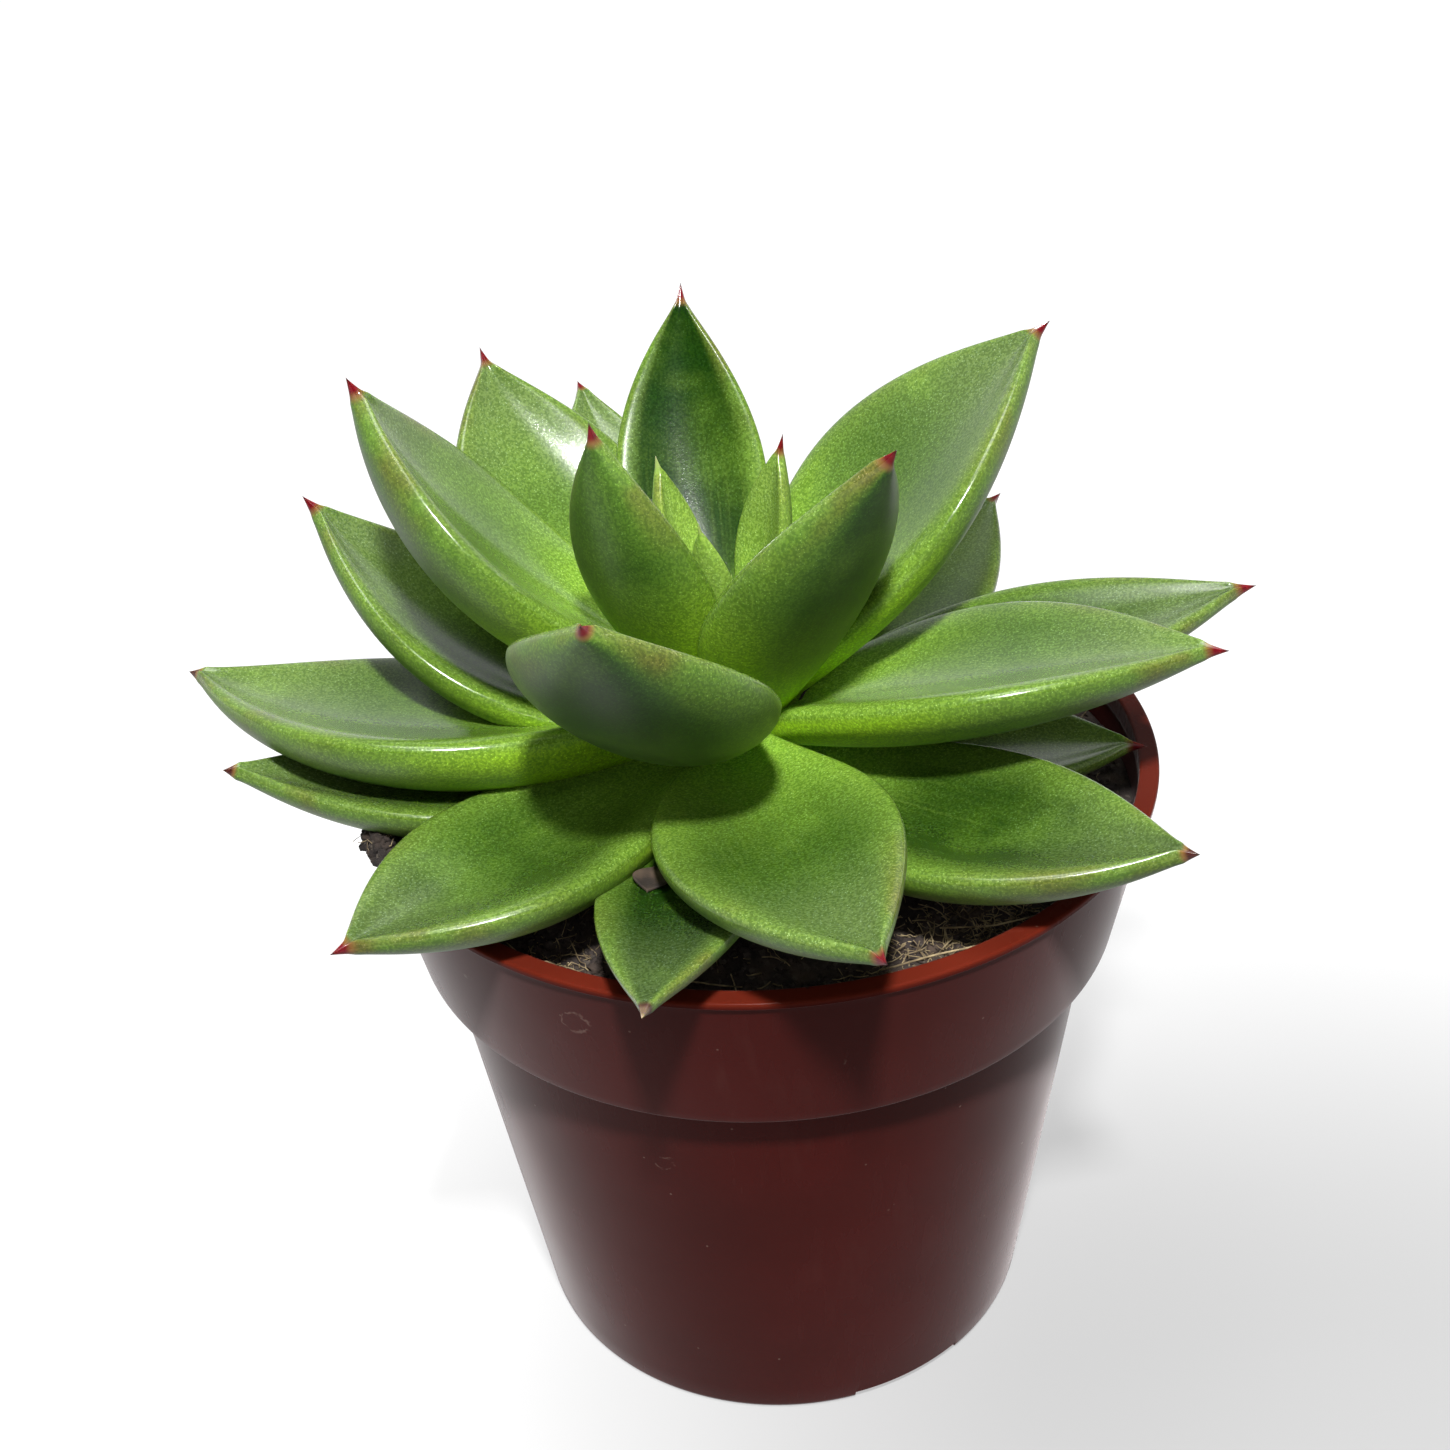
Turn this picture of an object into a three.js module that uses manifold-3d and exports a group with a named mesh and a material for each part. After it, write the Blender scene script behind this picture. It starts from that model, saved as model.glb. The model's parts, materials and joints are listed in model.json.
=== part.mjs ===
// Potted echeveria rosette in a moulded nursery pot. Millimetres, +Z up, seen from -Y.
// The origin is the centre of the pot's underside, on the surface that it stands on.

import * as THREE from 'three';
import { mergeVertices } from 'three/addons/utils/BufferGeometryUtils.js';
import Module from 'manifold-3d';

const manifold = await Module();
manifold.setup();
const { Manifold, Mesh: SolidMesh } = manifold;

// Clearance that touching pieces keep
const SEAT_GAP = 0.3;

// Pot
const POT_HEIGHT = 88;
const RIM_RADIUS = 52.5;
const LIP_HEIGHT = 0.9;
const LIP_PROUD = 0.4;
const RIM_BAND = 2.6;
const RIM_DEPTH = 3;
const RIM_EDGE = 0.2;
const COLLAR_HEIGHT = 22.3;
const COLLAR_FOOT_RADIUS = 47.9;
const BODY_TOP_RADIUS = 45;
const BASE_RADIUS = 36.1;
const BASE_ROUND = 0.8;
const WALL = 1.1;
const FLOOR = 1.6;
const FOOT_RING_WIDTH = 3.5;
const CENTRE_PAD_RADIUS = 14;
const CHANNEL_RISE = 1.8;
const NOTCH_HEIGHT = 1.3;
const NOTCH_WIDTH = 17;
const NOTCH_ANGLES = [-63, 57, 177];
const DRAIN_HOLES = 6;
const DRAIN_RADIUS = 2.4;
const DRAIN_RING_RADIUS = 23;
const DRAIN_SIDES = 12;
const POT_SIDES = 48;

// Soil
const SOIL_BELOW_RIM = 7;
const SOIL_MOUND = 3.5;
const SOIL_LUMP = 0.6;
// Step, shift and spread of the repeatable scatter that sets the lumps
const SCATTER = [127.1, 11.7, 43758.5];
const SOIL_SIDES = 36;
const SOIL_RINGS = 5;

// Stem, which leans out of the middle of the pot towards the front
const STEM_X = -3;
const STEM_Y = -5;
const STEM_FOOT = 72;
const STEM_TOP = 108;
const STEM_FOOT_RADIUS = 4.2;
const STEM_TOP_RADIUS = 2.6;
const STEM_SIDES = 16;

// Leaf blade, the same for every leaf apart from the sizes in its row. LEAF_ROOT is how far from the
// stem's axis it starts, the widths and thicknesses are shares of its full width, and the powers
// round the blade's outline, its section and its end.
const LEAF_ROOT = 3.5;
const ROOT_WIDTH = 0.25;
const ROOT_POWER = 1.15;
const TIP_POWER = 1.95;
const THICKNESS = 0.23;
const ROOT_THICKNESS = 0.6;
const THICKEST_AT = 0.4;
const THINNING_POWER = 2.2;
const END_POWER = 0.85;
const UNDERSIDE_SHARE = 0.8;
const UNDERSIDE_POWER = 0.85;
const SECTION_POWER = 0.9;
const MARGIN_RISE = 0.2;
const THINNEST = 0.35;
const MIDRIB_STEPS = 40;
const LEAF_GRID = { stations: [-0.04, 0.06, 0.18, 0.32, 0.46, 0.6, 0.72, 0.83, 0.92, 0.97], sides: 12 };
const HEART_GRID = { stations: [0, 0.2, 0.45, 0.7, 0.9], sides: 8 };

// Spiral: each leaf stands this much further round, clockwise from above, than the one inside it.
// The leaf of one place, low at the front, has withered and dropped.
const SPIRAL_START = 232;
const SPIRAL_STEP = 138;
const EMPTY_PLACE = 21;

// Leaves in spiral order from the inside. Degrees and millimetres:
// sway    the leaf's own turn away from the spiral
// rise    height of its root
// pitch   slope at the root, and curl, how much steeper the tip is
// bend    sideways curve, and twist about its own midrib
// widest  how far along it is widest
const LEAVES = [
  { sway: 18, rise: 105, pitch: 77, curl: 4, length: 29, width: 11.5, bend: -6, twist: 0, widest: 0.49 },
  { sway: -3, rise: 102, pitch: 51, curl: 34, length: 47, width: 18, bend: -3, twist: 9, widest: 0.49 },
  { sway: 10, rise: 102, pitch: 45, curl: 24, length: 50, width: 19.5, bend: -20, twist: -4, widest: 0.5 },
  { sway: -11, rise: 98, pitch: 62, curl: -6, length: 53, width: 25.5, bend: 7, twist: -1, widest: 0.47 },
  { sway: 4, rise: 103.5, pitch: 21.5, curl: 52, length: 59.5, width: 32.5, bend: -4, twist: 6, widest: 0.55 },
  { sway: -14, rise: 98, pitch: 49, curl: -8, length: 60, width: 32.5, bend: -8, twist: 0, widest: 0.52 },
  { sway: -12, rise: 100, pitch: 21, curl: 36, length: 61, width: 30, bend: 7, twist: -3, widest: 0.59 },
  { sway: 14, rise: 97.5, pitch: 18, curl: 43, length: 59, width: 28, bend: -19, twist: -6, widest: 0.53 },
  { sway: -2, rise: 96.5, pitch: 18, curl: -8, length: 59.5, width: 31, bend: 2, twist: -7, widest: 0.5 },
  { sway: -20, rise: 99.5, pitch: -11.5, curl: 28.5, length: 69.5, width: 33.5, bend: -32, twist: 12, widest: 0.54 },
  { sway: 2, rise: 96, pitch: 4, curl: 12, length: 50, width: 26, bend: 0, twist: 0, widest: 0.52 },
  { sway: -19, rise: 94.5, pitch: 5, curl: 11, length: 63.5, width: 28, bend: 19, twist: 5, widest: 0.49 },
  { sway: 9, rise: 94, pitch: 2, curl: 54, length: 62.5, width: 27.5, bend: -1, twist: 2, widest: 0.51 },
  { sway: -13, rise: 95, pitch: 8, curl: 8, length: 65.5, width: 24, bend: 0, twist: 3, widest: 0.52 },
  { sway: -14, rise: 95.5, pitch: -12, curl: 24, length: 60.5, width: 28.5, bend: -2, twist: 6, widest: 0.58 },
  { sway: 12, rise: 94, pitch: 18, curl: 23, length: 58.5, width: 22, bend: -3, twist: 4, widest: 0.51 },
  { sway: -7, rise: 93, pitch: -9, curl: 32.5, length: 63.5, width: 29, bend: 10.5, twist: 1, widest: 0.51 },
  { sway: 4, rise: 91.2, pitch: -11, curl: 34, length: 62.5, width: 24.5, bend: -3, twist: 5, widest: 0.52 },
  { sway: 0, rise: 92, pitch: 4, curl: 16, length: 58, width: 25.5, bend: 2, twist: 8, widest: 0.52 },
  { sway: -9, rise: 90, pitch: 4, curl: 7, length: 58, width: 21, bend: 0, twist: 8, widest: 0.52 },
  { sway: 16, rise: 92, pitch: 0, curl: 12, length: 56, width: 24, bend: 0, twist: 0, widest: 0.52 },
  { sway: 4, rise: 90, pitch: -3, curl: 4, length: 50, width: 22.5, bend: 3, twist: 2, widest: 0.53 },
  { sway: 4, rise: 90, pitch: 0, curl: 8, length: 54, width: 22, bend: 0, twist: 0, widest: 0.52 },
];

// Heart: the smallest leaves, grown together round the growing tip, with the places inside the first leaf
const HEART_LEAVES = [
  { place: -2, sway: 12, pitch: 58, curl: 30, length: 24.5, width: 10 },
  { place: -3, sway: -46, pitch: 72, curl: 5, length: 18, width: 5.5 },
  { place: -4, sway: 0, pitch: 76, curl: 8, length: 7, width: 4.5 },
  { place: -5, sway: 0, pitch: 78, curl: 6, length: 6, width: 4 },
].map((row) => ({ ...row, rise: 109, bend: 0, twist: 0, widest: 0.49 }));
const HEART_TOP = 113;
const HEART_RADIUS = 2.4;
const HEART_TAPER = 0.8;
const HEART_LEAF_ROOT = 0.8;

// Colour and roughness of each material
const POT_PLASTIC = [0x6e2420, 0.4];
const DARK_SOIL = [0x2a211b, 0.95];
const STEM_SKIN = [0x7f9a4e, 0.7];
const HEART_SKIN = [0x9ac45a, 0.5];
const LEAF_SKIN = [0x6f9a4a, 0.5];

const degrees = (angle) => angle * Math.PI / 180;

/** A closed solid from points and triangles, ready to join or cut. */
function solidFrom(points, triangles) {
  return new Manifold(new SolidMesh({
    numProp: 3,
    vertProperties: new Float32Array(points.flat()),
    triVerts: new Uint32Array(triangles.flat()),
  }));
}

/** The solid of a three.js geometry, with its seams closed. */
function solidOf(geometry) {
  const bare = new THREE.BufferGeometry();
  bare.setAttribute('position', geometry.getAttribute('position').clone());
  if (geometry.index) bare.setIndex(geometry.index.clone());
  const closed = mergeVertices(bare, 1e-4);
  const positions = closed.getAttribute('position');
  const points = Array.from({ length: positions.count }, (_, i) => (
    new THREE.Vector3().fromBufferAttribute(positions, i).toArray()
  ));
  const corners = [...closed.index.array];
  const triangles = Array.from({ length: corners.length / 3 }, (_, i) => corners.slice(3 * i, 3 * i + 3))
    .filter((triangle) => new Set(triangle).size === 3);
  return solidFrom(points, triangles);
}

/** The largest body of a solid: small scraps that a cut leaves are dropped. */
function largestBody(solid) {
  const bodies = solid.decompose();
  return bodies.reduce((best, body) => (body.volume() > best.volume() ? body : best));
}

/** A named mesh of a solid, in its own material. */
function meshOf(name, solid, material) {
  const { numProp, vertProperties, triVerts } = solid.getMesh();
  const positions = [];
  for (let i = 0; i < vertProperties.length; i += numProp) {
    positions.push(vertProperties[i], vertProperties[i + 1], vertProperties[i + 2]);
  }
  const geometry = new THREE.BufferGeometry();
  geometry.setAttribute('position', new THREE.Float32BufferAttribute(positions, 3));
  geometry.setIndex([...triVerts]);
  geometry.computeVertexNormals();
  const mesh = new THREE.Mesh(geometry, material);
  mesh.name = name;
  return mesh;
}

/** A solid of revolution about the pot's axis, from [radius, height] points that start and end on it. */
function turned(outline, sides) {
  const lathe = new THREE.LatheGeometry(outline.map(([r, z]) => new THREE.Vector2(r, z)), sides);
  lathe.rotateX(Math.PI / 2);
  return solidOf(lathe);
}

/**
 * The closed skin over a row of rings, from a first point to a last one. Rings run anticlockwise
 * as seen from the last point.
 */
function skin(first, rings, last) {
  const sides = rings[0].length;
  const points = [first, ...rings.flat(), last];
  const at = (ring, side) => 1 + ring * sides + (side % sides);
  const end = points.length - 1;
  const triangles = [];
  for (let side = 0; side < sides; side += 1) {
    triangles.push([0, at(0, side + 1), at(0, side)]);
    for (let ring = 0; ring + 1 < rings.length; ring += 1) {
      const [a, b] = [at(ring, side), at(ring, side + 1)];
      const [c, d] = [at(ring + 1, side + 1), at(ring + 1, side)];
      triangles.push([a, b, c], [a, c, d]);
    }
    triangles.push([end, at(rings.length - 1, side), at(rings.length - 1, side + 1)]);
  }
  return solidFrom(points, triangles);
}

/** A level ring of points about (x, y). */
function levelRing(x, y, radius, height, sides) {
  return Array.from({ length: sides }, (_, i) => {
    const angle = 2 * Math.PI * i / sides;
    return [x + radius * Math.cos(angle), y + radius * Math.sin(angle), height];
  });
}

// Pot

/** Outer radius of the collar or body at a height. */
function outerRadius(height) {
  const step = POT_HEIGHT - COLLAR_HEIGHT;
  if (height <= step) return BASE_RADIUS + (BODY_TOP_RADIUS - BASE_RADIUS) * height / step;
  const share = (height - step) / (POT_HEIGHT - LIP_HEIGHT - step);
  return COLLAR_FOOT_RADIUS + (RIM_RADIUS - LIP_PROUD - COLLAR_FOOT_RADIUS) * share;
}

/** Height of the inner floor, over the raised channel. */
const INNER_FLOOR = CHANNEL_RISE + FLOOR;

/** Inside of the pot: [radius, height] from under the rim band down to the floor. */
function innerOutline() {
  const step = POT_HEIGHT - COLLAR_HEIGHT;
  const flange = POT_HEIGHT - RIM_DEPTH;
  return [
    [RIM_RADIUS - RIM_BAND, flange],
    [outerRadius(flange - WALL) - WALL, flange - WALL],
    [COLLAR_FOOT_RADIUS - WALL, step + WALL],
    [BODY_TOP_RADIUS - WALL, step - WALL / 2],
    [outerRadius(INNER_FLOOR) - WALL, INNER_FLOOR],
  ];
}

/** The pot: a turned shell with foot notches and drainage holes cut from it. */
function pot() {
  const step = POT_HEIGHT - COLLAR_HEIGHT;
  const lip = POT_HEIGHT - LIP_HEIGHT;
  const ringInner = BASE_RADIUS - FOOT_RING_WIDTH;
  const shell = turned([
    [0, 0],
    [CENTRE_PAD_RADIUS, 0],
    [CENTRE_PAD_RADIUS + CHANNEL_RISE / 2, CHANNEL_RISE],
    [ringInner - CHANNEL_RISE / 2, CHANNEL_RISE],
    [ringInner, 0],
    [BASE_RADIUS - BASE_ROUND, 0],
    [BASE_RADIUS, BASE_ROUND],
    [BODY_TOP_RADIUS, step],
    [COLLAR_FOOT_RADIUS - RIM_EDGE * 2, step],
    [COLLAR_FOOT_RADIUS, step + RIM_EDGE * 2],
    [RIM_RADIUS - LIP_PROUD, lip - RIM_EDGE],
    [RIM_RADIUS, lip],
    [RIM_RADIUS, POT_HEIGHT - RIM_EDGE],
    [RIM_RADIUS - RIM_EDGE, POT_HEIGHT],
    [RIM_RADIUS - RIM_BAND + RIM_EDGE, POT_HEIGHT],
    [RIM_RADIUS - RIM_BAND, POT_HEIGHT - RIM_EDGE],
    ...innerOutline(),
    [CENTRE_PAD_RADIUS + CHANNEL_RISE / 2, INNER_FLOOR],
    [CENTRE_PAD_RADIUS, FLOOR],
    [0, FLOOR],
  ], POT_SIDES);

  const notches = NOTCH_ANGLES.map((angle) => {
    const cut = new THREE.BoxGeometry(2 * FOOT_RING_WIDTH + 2 * BASE_ROUND, NOTCH_WIDTH, 2 * NOTCH_HEIGHT);
    cut.translate(BASE_RADIUS - FOOT_RING_WIDTH / 2, 0, 0);
    cut.rotateZ(degrees(angle));
    return solidOf(cut);
  });
  const drains = Array.from({ length: DRAIN_HOLES }, (_, i) => {
    const cut = new THREE.CylinderGeometry(DRAIN_RADIUS, DRAIN_RADIUS, 4 * FLOOR, DRAIN_SIDES);
    cut.rotateX(Math.PI / 2);
    cut.translate(DRAIN_RING_RADIUS, 0, INNER_FLOOR);
    cut.rotateZ(2 * Math.PI * i / DRAIN_HOLES);
    return solidOf(cut);
  });
  return shell.subtract(Manifold.union([...notches, ...drains]));
}

// Soil and stem

/** A repeatable scatter between -1 and 1. */
function scatter(seed) {
  const [step, shift, spread] = SCATTER;
  const wave = Math.sin(seed * step + shift) * spread;
  return 2 * (wave - Math.floor(wave)) - 1;
}

/** The soil that fills the pot, lumpy on top, with room for the stem. */
function soil(stemSpace) {
  const surface = POT_HEIGHT - SOIL_BELOW_RIM;
  const [, flange, collarFoot, bodyTop, floor] = innerOutline();
  const slope = (flange[0] - collarFoot[0]) / (flange[1] - collarFoot[1]);
  const edge = collarFoot[0] + slope * (surface - collarFoot[1]) - SEAT_GAP;
  const level = (radius, height) => levelRing(0, 0, radius, height, SOIL_SIDES);
  const sides = [
    level(floor[0] - SEAT_GAP, floor[1] + SEAT_GAP),
    level(bodyTop[0] - SEAT_GAP, bodyTop[1] + SEAT_GAP),
    level(collarFoot[0] - SEAT_GAP, collarFoot[1] + SEAT_GAP),
    level(edge, surface),
  ];
  const top = Array.from({ length: SOIL_RINGS }, (_, ring) => {
    const share = 1 - (ring + 1) / (SOIL_RINGS + 1);
    const height = surface + SOIL_MOUND * (1 - share ** 2);
    return level(edge * share, height).map(([x, y, z], side) => (
      [x, y, z + SOIL_LUMP * scatter(ring * SOIL_SIDES + side)]
    ));
  });
  const body = skin([0, 0, floor[1] + SEAT_GAP], [...sides, ...top], [0, 0, surface + SOIL_MOUND]);
  return body.subtract(stemSpace);
}

/** The stem, or with a growth the room that others leave round it. */
function stem(growth = 0) {
  const ring = (radius, height) => levelRing(STEM_X, STEM_Y, radius + growth, height, STEM_SIDES);
  const [foot, top] = [STEM_FOOT - growth, STEM_TOP + growth];
  return skin(
    [STEM_X, STEM_Y, foot],
    [ring(STEM_FOOT_RADIUS, foot), ring(STEM_FOOT_RADIUS, POT_HEIGHT), ring(STEM_TOP_RADIUS, top)],
    [STEM_X, STEM_Y, top],
  );
}

// Leaves

/** Share of the full width at a station: narrow at the root, full at the widest place, then a point. */
function widthShare(t, widest) {
  if (t < widest) {
    return ROOT_WIDTH + (1 - ROOT_WIDTH) * Math.sin(Math.PI / 2 * Math.max(t, 0) / widest) ** ROOT_POWER;
  }
  return 1 - ((t - widest) / (1 - widest)) ** TIP_POWER;
}

/** Share of the full thickness at a station. */
function thicknessShare(t) {
  if (t < THICKEST_AT) {
    return ROOT_THICKNESS + (1 - ROOT_THICKNESS) * Math.sin(Math.PI / 2 * Math.max(t, 0) / THICKEST_AT);
  }
  return (1 - ((t - THICKEST_AT) / (1 - THICKEST_AT)) ** THINNING_POWER) ** END_POWER;
}

/** Midrib of a leaf that points along +X: its points and directions at the stations. */
function midrib({ pitch, curl, length, bend }, root) {
  const direction = (t) => {
    const [slope, heading] = [degrees(pitch + curl * t), degrees(bend * t)];
    return new THREE.Vector3(
      Math.cos(slope) * Math.cos(heading),
      Math.cos(slope) * Math.sin(heading),
      Math.sin(slope),
    );
  };
  const pointAt = (t) => {
    const point = new THREE.Vector3(root, 0, 0);
    for (let i = 0; i < MIDRIB_STEPS; i += 1) {
      point.addScaledVector(direction(t * (i + 0.5) / MIDRIB_STEPS), t * length / MIDRIB_STEPS);
    }
    return point;
  };
  return { direction, pointAt };
}

/** One thick, hollowed and pointed leaf, or with a growth the room that others leave round it. */
function leaf(row, place, growth = 0, grid = LEAF_GRID, root = LEAF_ROOT) {
  const { rise, width, bend, twist, widest } = row;
  const { direction, pointAt } = midrib(row, root);
  const azimuth = degrees(SPIRAL_START - SPIRAL_STEP * place + row.sway);
  const stand = ([x, y, z]) => [
    STEM_X + x * Math.cos(azimuth) - y * Math.sin(azimuth),
    STEM_Y + x * Math.sin(azimuth) + y * Math.cos(azimuth),
    rise + z,
  ];
  const rings = grid.stations.map((t) => {
    const along = direction(t);
    const heading = degrees(bend * t);
    const side = new THREE.Vector3(-Math.sin(heading), Math.cos(heading), 0)
      .applyAxisAngle(along, degrees(twist));
    const up = new THREE.Vector3().crossVectors(along, side);
    const halfWidth = Math.max(width / 2 * widthShare(t, widest), THINNEST) + growth;
    const depth = width * THICKNESS * thicknessShare(t);
    const under = Math.max(depth * UNDERSIDE_SHARE, THINNEST) + growth;
    const over = Math.max(depth * (1 - UNDERSIDE_SHARE), THINNEST) + growth;
    return Array.from({ length: grid.sides }, (_, i) => {
      const angle = 2 * Math.PI * i / grid.sides;
      const across = Math.sign(Math.cos(angle)) * Math.abs(Math.cos(angle)) ** SECTION_POWER;
      const lift = Math.sin(angle) >= 0
        ? over * Math.abs(Math.sin(angle)) ** SECTION_POWER
        : -under * Math.abs(Math.sin(angle)) ** UNDERSIDE_POWER;
      return pointAt(t)
        .addScaledVector(side, halfWidth * across)
        .addScaledVector(up, lift + MARGIN_RISE * halfWidth * across ** 2)
        .toArray();
    });
  });
  const foot = pointAt(grid.stations[0]).toArray();
  const tip = pointAt(1).addScaledVector(direction(1), growth).toArray();
  return skin(stand(foot), rings.map((ring) => ring.map(stand)), stand(tip));
}

/** The growing tip with its smallest leaves, joined in one body. */
function heart(growth = 0) {
  const ring = (radius, height) => levelRing(STEM_X, STEM_Y, radius + growth, height, STEM_SIDES);
  const foot = STEM_TOP + SEAT_GAP - growth;
  const core = skin(
    [STEM_X, STEM_Y, foot],
    [ring(HEART_RADIUS, foot), ring(HEART_RADIUS * HEART_TAPER, HEART_TOP - HEART_RADIUS)],
    [STEM_X, STEM_Y, HEART_TOP + growth],
  );
  const smallest = HEART_LEAVES.map((row) => leaf(row, row.place, growth, HEART_GRID, HEART_LEAF_ROOT));
  return Manifold.union([core, ...smallest]);
}

/** Every leaf from the inside out, cut clear of the stem, the heart and the leaves inside it. */
function leaves() {
  const inner = [stem(SEAT_GAP), heart(SEAT_GAP)];
  return LEAVES.map((row, index) => {
    const place = index - 1 < EMPTY_PLACE ? index - 1 : index;
    const body = largestBody(leaf(row, place).subtract(Manifold.union(inner)));
    inner.push(leaf(row, place, SEAT_GAP));
    return body;
  });
}

// Assembly
const matte = ([color, roughness]) => new THREE.MeshStandardMaterial({ color, roughness });
const group = new THREE.Group();
group.name = 'potted_echeveria';

group.add(meshOf('pot', pot(), matte(POT_PLASTIC)));
group.add(meshOf('soil', soil(stem(SEAT_GAP)), matte(DARK_SOIL)));
group.add(meshOf('stem', stem(), matte(STEM_SKIN)));
group.add(meshOf('heart', heart().subtract(stem(SEAT_GAP)), matte(HEART_SKIN)));
leaves().forEach((solid, index) => {
  group.add(meshOf(`leaf_${String(index + 1).padStart(2, '0')}`, solid, matte(LEAF_SKIN)));
});

export default group;
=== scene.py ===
"""A potted echeveria: the finished model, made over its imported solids.

Everything is in the solids' frame, +Z up, with the origin at the centre of the pot's underside. Blender's
unit is the metre. Sizes that the solids share are kept in millimetres here, as they are there, and MM turns
them into metres where a mesh is made.
"""
import json
import logging
import math
from dataclasses import dataclass, field
from enum import Enum
from typing import Any

import bmesh
import bpy
import numpy as np
from mathutils import Matrix, Vector

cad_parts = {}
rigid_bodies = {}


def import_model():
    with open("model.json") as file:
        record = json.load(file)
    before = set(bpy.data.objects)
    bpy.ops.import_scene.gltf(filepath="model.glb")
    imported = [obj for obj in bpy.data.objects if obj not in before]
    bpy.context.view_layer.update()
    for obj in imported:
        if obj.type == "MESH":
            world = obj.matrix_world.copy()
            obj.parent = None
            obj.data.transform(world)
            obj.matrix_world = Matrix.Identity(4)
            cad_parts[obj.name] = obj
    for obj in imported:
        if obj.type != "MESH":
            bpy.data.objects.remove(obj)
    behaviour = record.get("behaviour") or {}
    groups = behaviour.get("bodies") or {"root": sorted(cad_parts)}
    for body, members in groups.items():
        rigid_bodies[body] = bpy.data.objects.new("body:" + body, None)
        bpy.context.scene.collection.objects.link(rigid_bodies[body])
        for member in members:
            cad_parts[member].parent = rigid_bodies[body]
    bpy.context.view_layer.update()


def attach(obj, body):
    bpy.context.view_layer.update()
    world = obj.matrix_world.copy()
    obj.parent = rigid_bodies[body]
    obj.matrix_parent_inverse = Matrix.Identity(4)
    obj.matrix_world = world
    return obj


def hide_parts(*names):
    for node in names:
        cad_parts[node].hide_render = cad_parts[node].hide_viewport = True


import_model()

MM = 0.001
ROOT = "root"

# The stem's axis, off the pot's middle, which the rosette is built round
STEM_X = -3.0
STEM_Y = -5.0
STRAND_SIDES = 5

Pair = tuple[float, float]
Triple = tuple[float, float, float]
Colour = tuple[float, float, float, float]
Socket = bpy.types.NodeSocket
Tree = bpy.types.NodeTree
Material = bpy.types.Material
Mesh = bpy.types.Mesh
Thing = bpy.types.Object
log = logging.getLogger("echeveria")


def srgb(red: float, green: float, blue: float) -> Colour:
    """Turn a display colour into the linear colour that a shader takes.

    Args:
        red: Display value from 0 to 255.
        green: Display value from 0 to 255.
        blue: Display value from 0 to 255.

    Returns:
        The linear colour, with an alpha of 1.
    """
    shares = [channel / 255 for channel in (red, green, blue)]
    linear = [s / 12.92 if s <= 0.04045 else ((s + 0.055) / 1.055) ** 2.4 for s in shares]
    return (linear[0], linear[1], linear[2], 1.0)


class Tip(Enum):
    """State of the spine at a leaf's end: how far it is tinted, and how dark its point is."""

    PALE = "pale"
    CRIMSON = "crimson"
    DARK = "dark"
    WITHERED = "withered"


class NodeSheet:
    """Short calls that add nodes to a tree and join them."""

    def __init__(self, tree: Tree) -> None:
        """Keep the tree that the nodes go into."""
        self.tree = tree

    def add(self, kind: str, feeds: dict[Any, Any] | None = None, **settings: Any) -> bpy.types.Node:
        """Add a node.

        Args:
            kind: Blender's name of the node type.
            feeds: Value or socket for each input, by name or number.
            **settings: The node's own options.

        Returns:
            The new node.
        """
        node = self.tree.nodes.new(kind)
        for option, value in settings.items():
            setattr(node, option, value)
        for key, value in (feeds or {}).items():
            if isinstance(value, Socket):
                self.tree.links.new(value, node.inputs[key])
            else:
                node.inputs[key].default_value = value
        return node

    def out(self, kind: str, feeds: dict[Any, Any] | None = None, **settings: Any) -> Socket:
        """Add a node and return its first output."""
        return self.add(kind, feeds, **settings).outputs[0]

    def math(self, operation: str, *values: Any, clamp: bool = False) -> Socket:
        """Return the result of a scalar sum on values or sockets."""
        feeds = dict(enumerate(values))
        return self.out("ShaderNodeMath", feeds, operation=operation, use_clamp=clamp)

    def times(self, first: Any, *factors: Any) -> Any:
        """Multiply values or sockets.

        Args:
            first: The first factor.
            *factors: The others, in order.

        Returns:
            The product.
        """
        for factor in factors:
            first = self.math("MULTIPLY", first, factor)
        return first

    def line(self, value: Any, slope: Any, base: Any) -> Socket:
        """Return a value times a slope, plus a base."""
        return self.math("MULTIPLY_ADD", value, slope, base)

    def vector(self, operation: str, *values: Any) -> Socket:
        """Return the vector result of a vector sum on values or sockets."""
        return self.out("ShaderNodeVectorMath", dict(enumerate(values)), operation=operation)

    def scaled(self, vector: Any, factor: Any) -> Socket:
        """Return a vector times a scalar."""
        return self.out("ShaderNodeVectorMath", {0: vector, 3: factor}, operation="SCALE")

    def away(self, first: Any, second: Any) -> Socket:
        """Return the distance between two places."""
        return self.add("ShaderNodeVectorMath", {0: first, 1: second}, operation="DISTANCE").outputs[1]

    def parts(self, vector: Socket) -> Any:
        """Return a vector's x, y and z."""
        return self.add("ShaderNodeSeparateXYZ", {0: vector}).outputs

    def packed(self, x: Any = 0.0, y: Any = 0.0, z: Any = 0.0) -> Socket:
        """Return a vector from its x, y and z."""
        return self.out("ShaderNodeCombineXYZ", {0: x, 1: y, 2: z})

    def rise(self, value: Socket, low: float, high: float) -> Socket:
        """Return a smooth step of a value, from 0 at low to 1 at high, which may be the smaller."""
        feeds = {0: value, 1: low, 2: high, 3: 0.0, 4: 1.0}
        return self.out("ShaderNodeMapRange", feeds, interpolation_type="SMOOTHSTEP")


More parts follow.
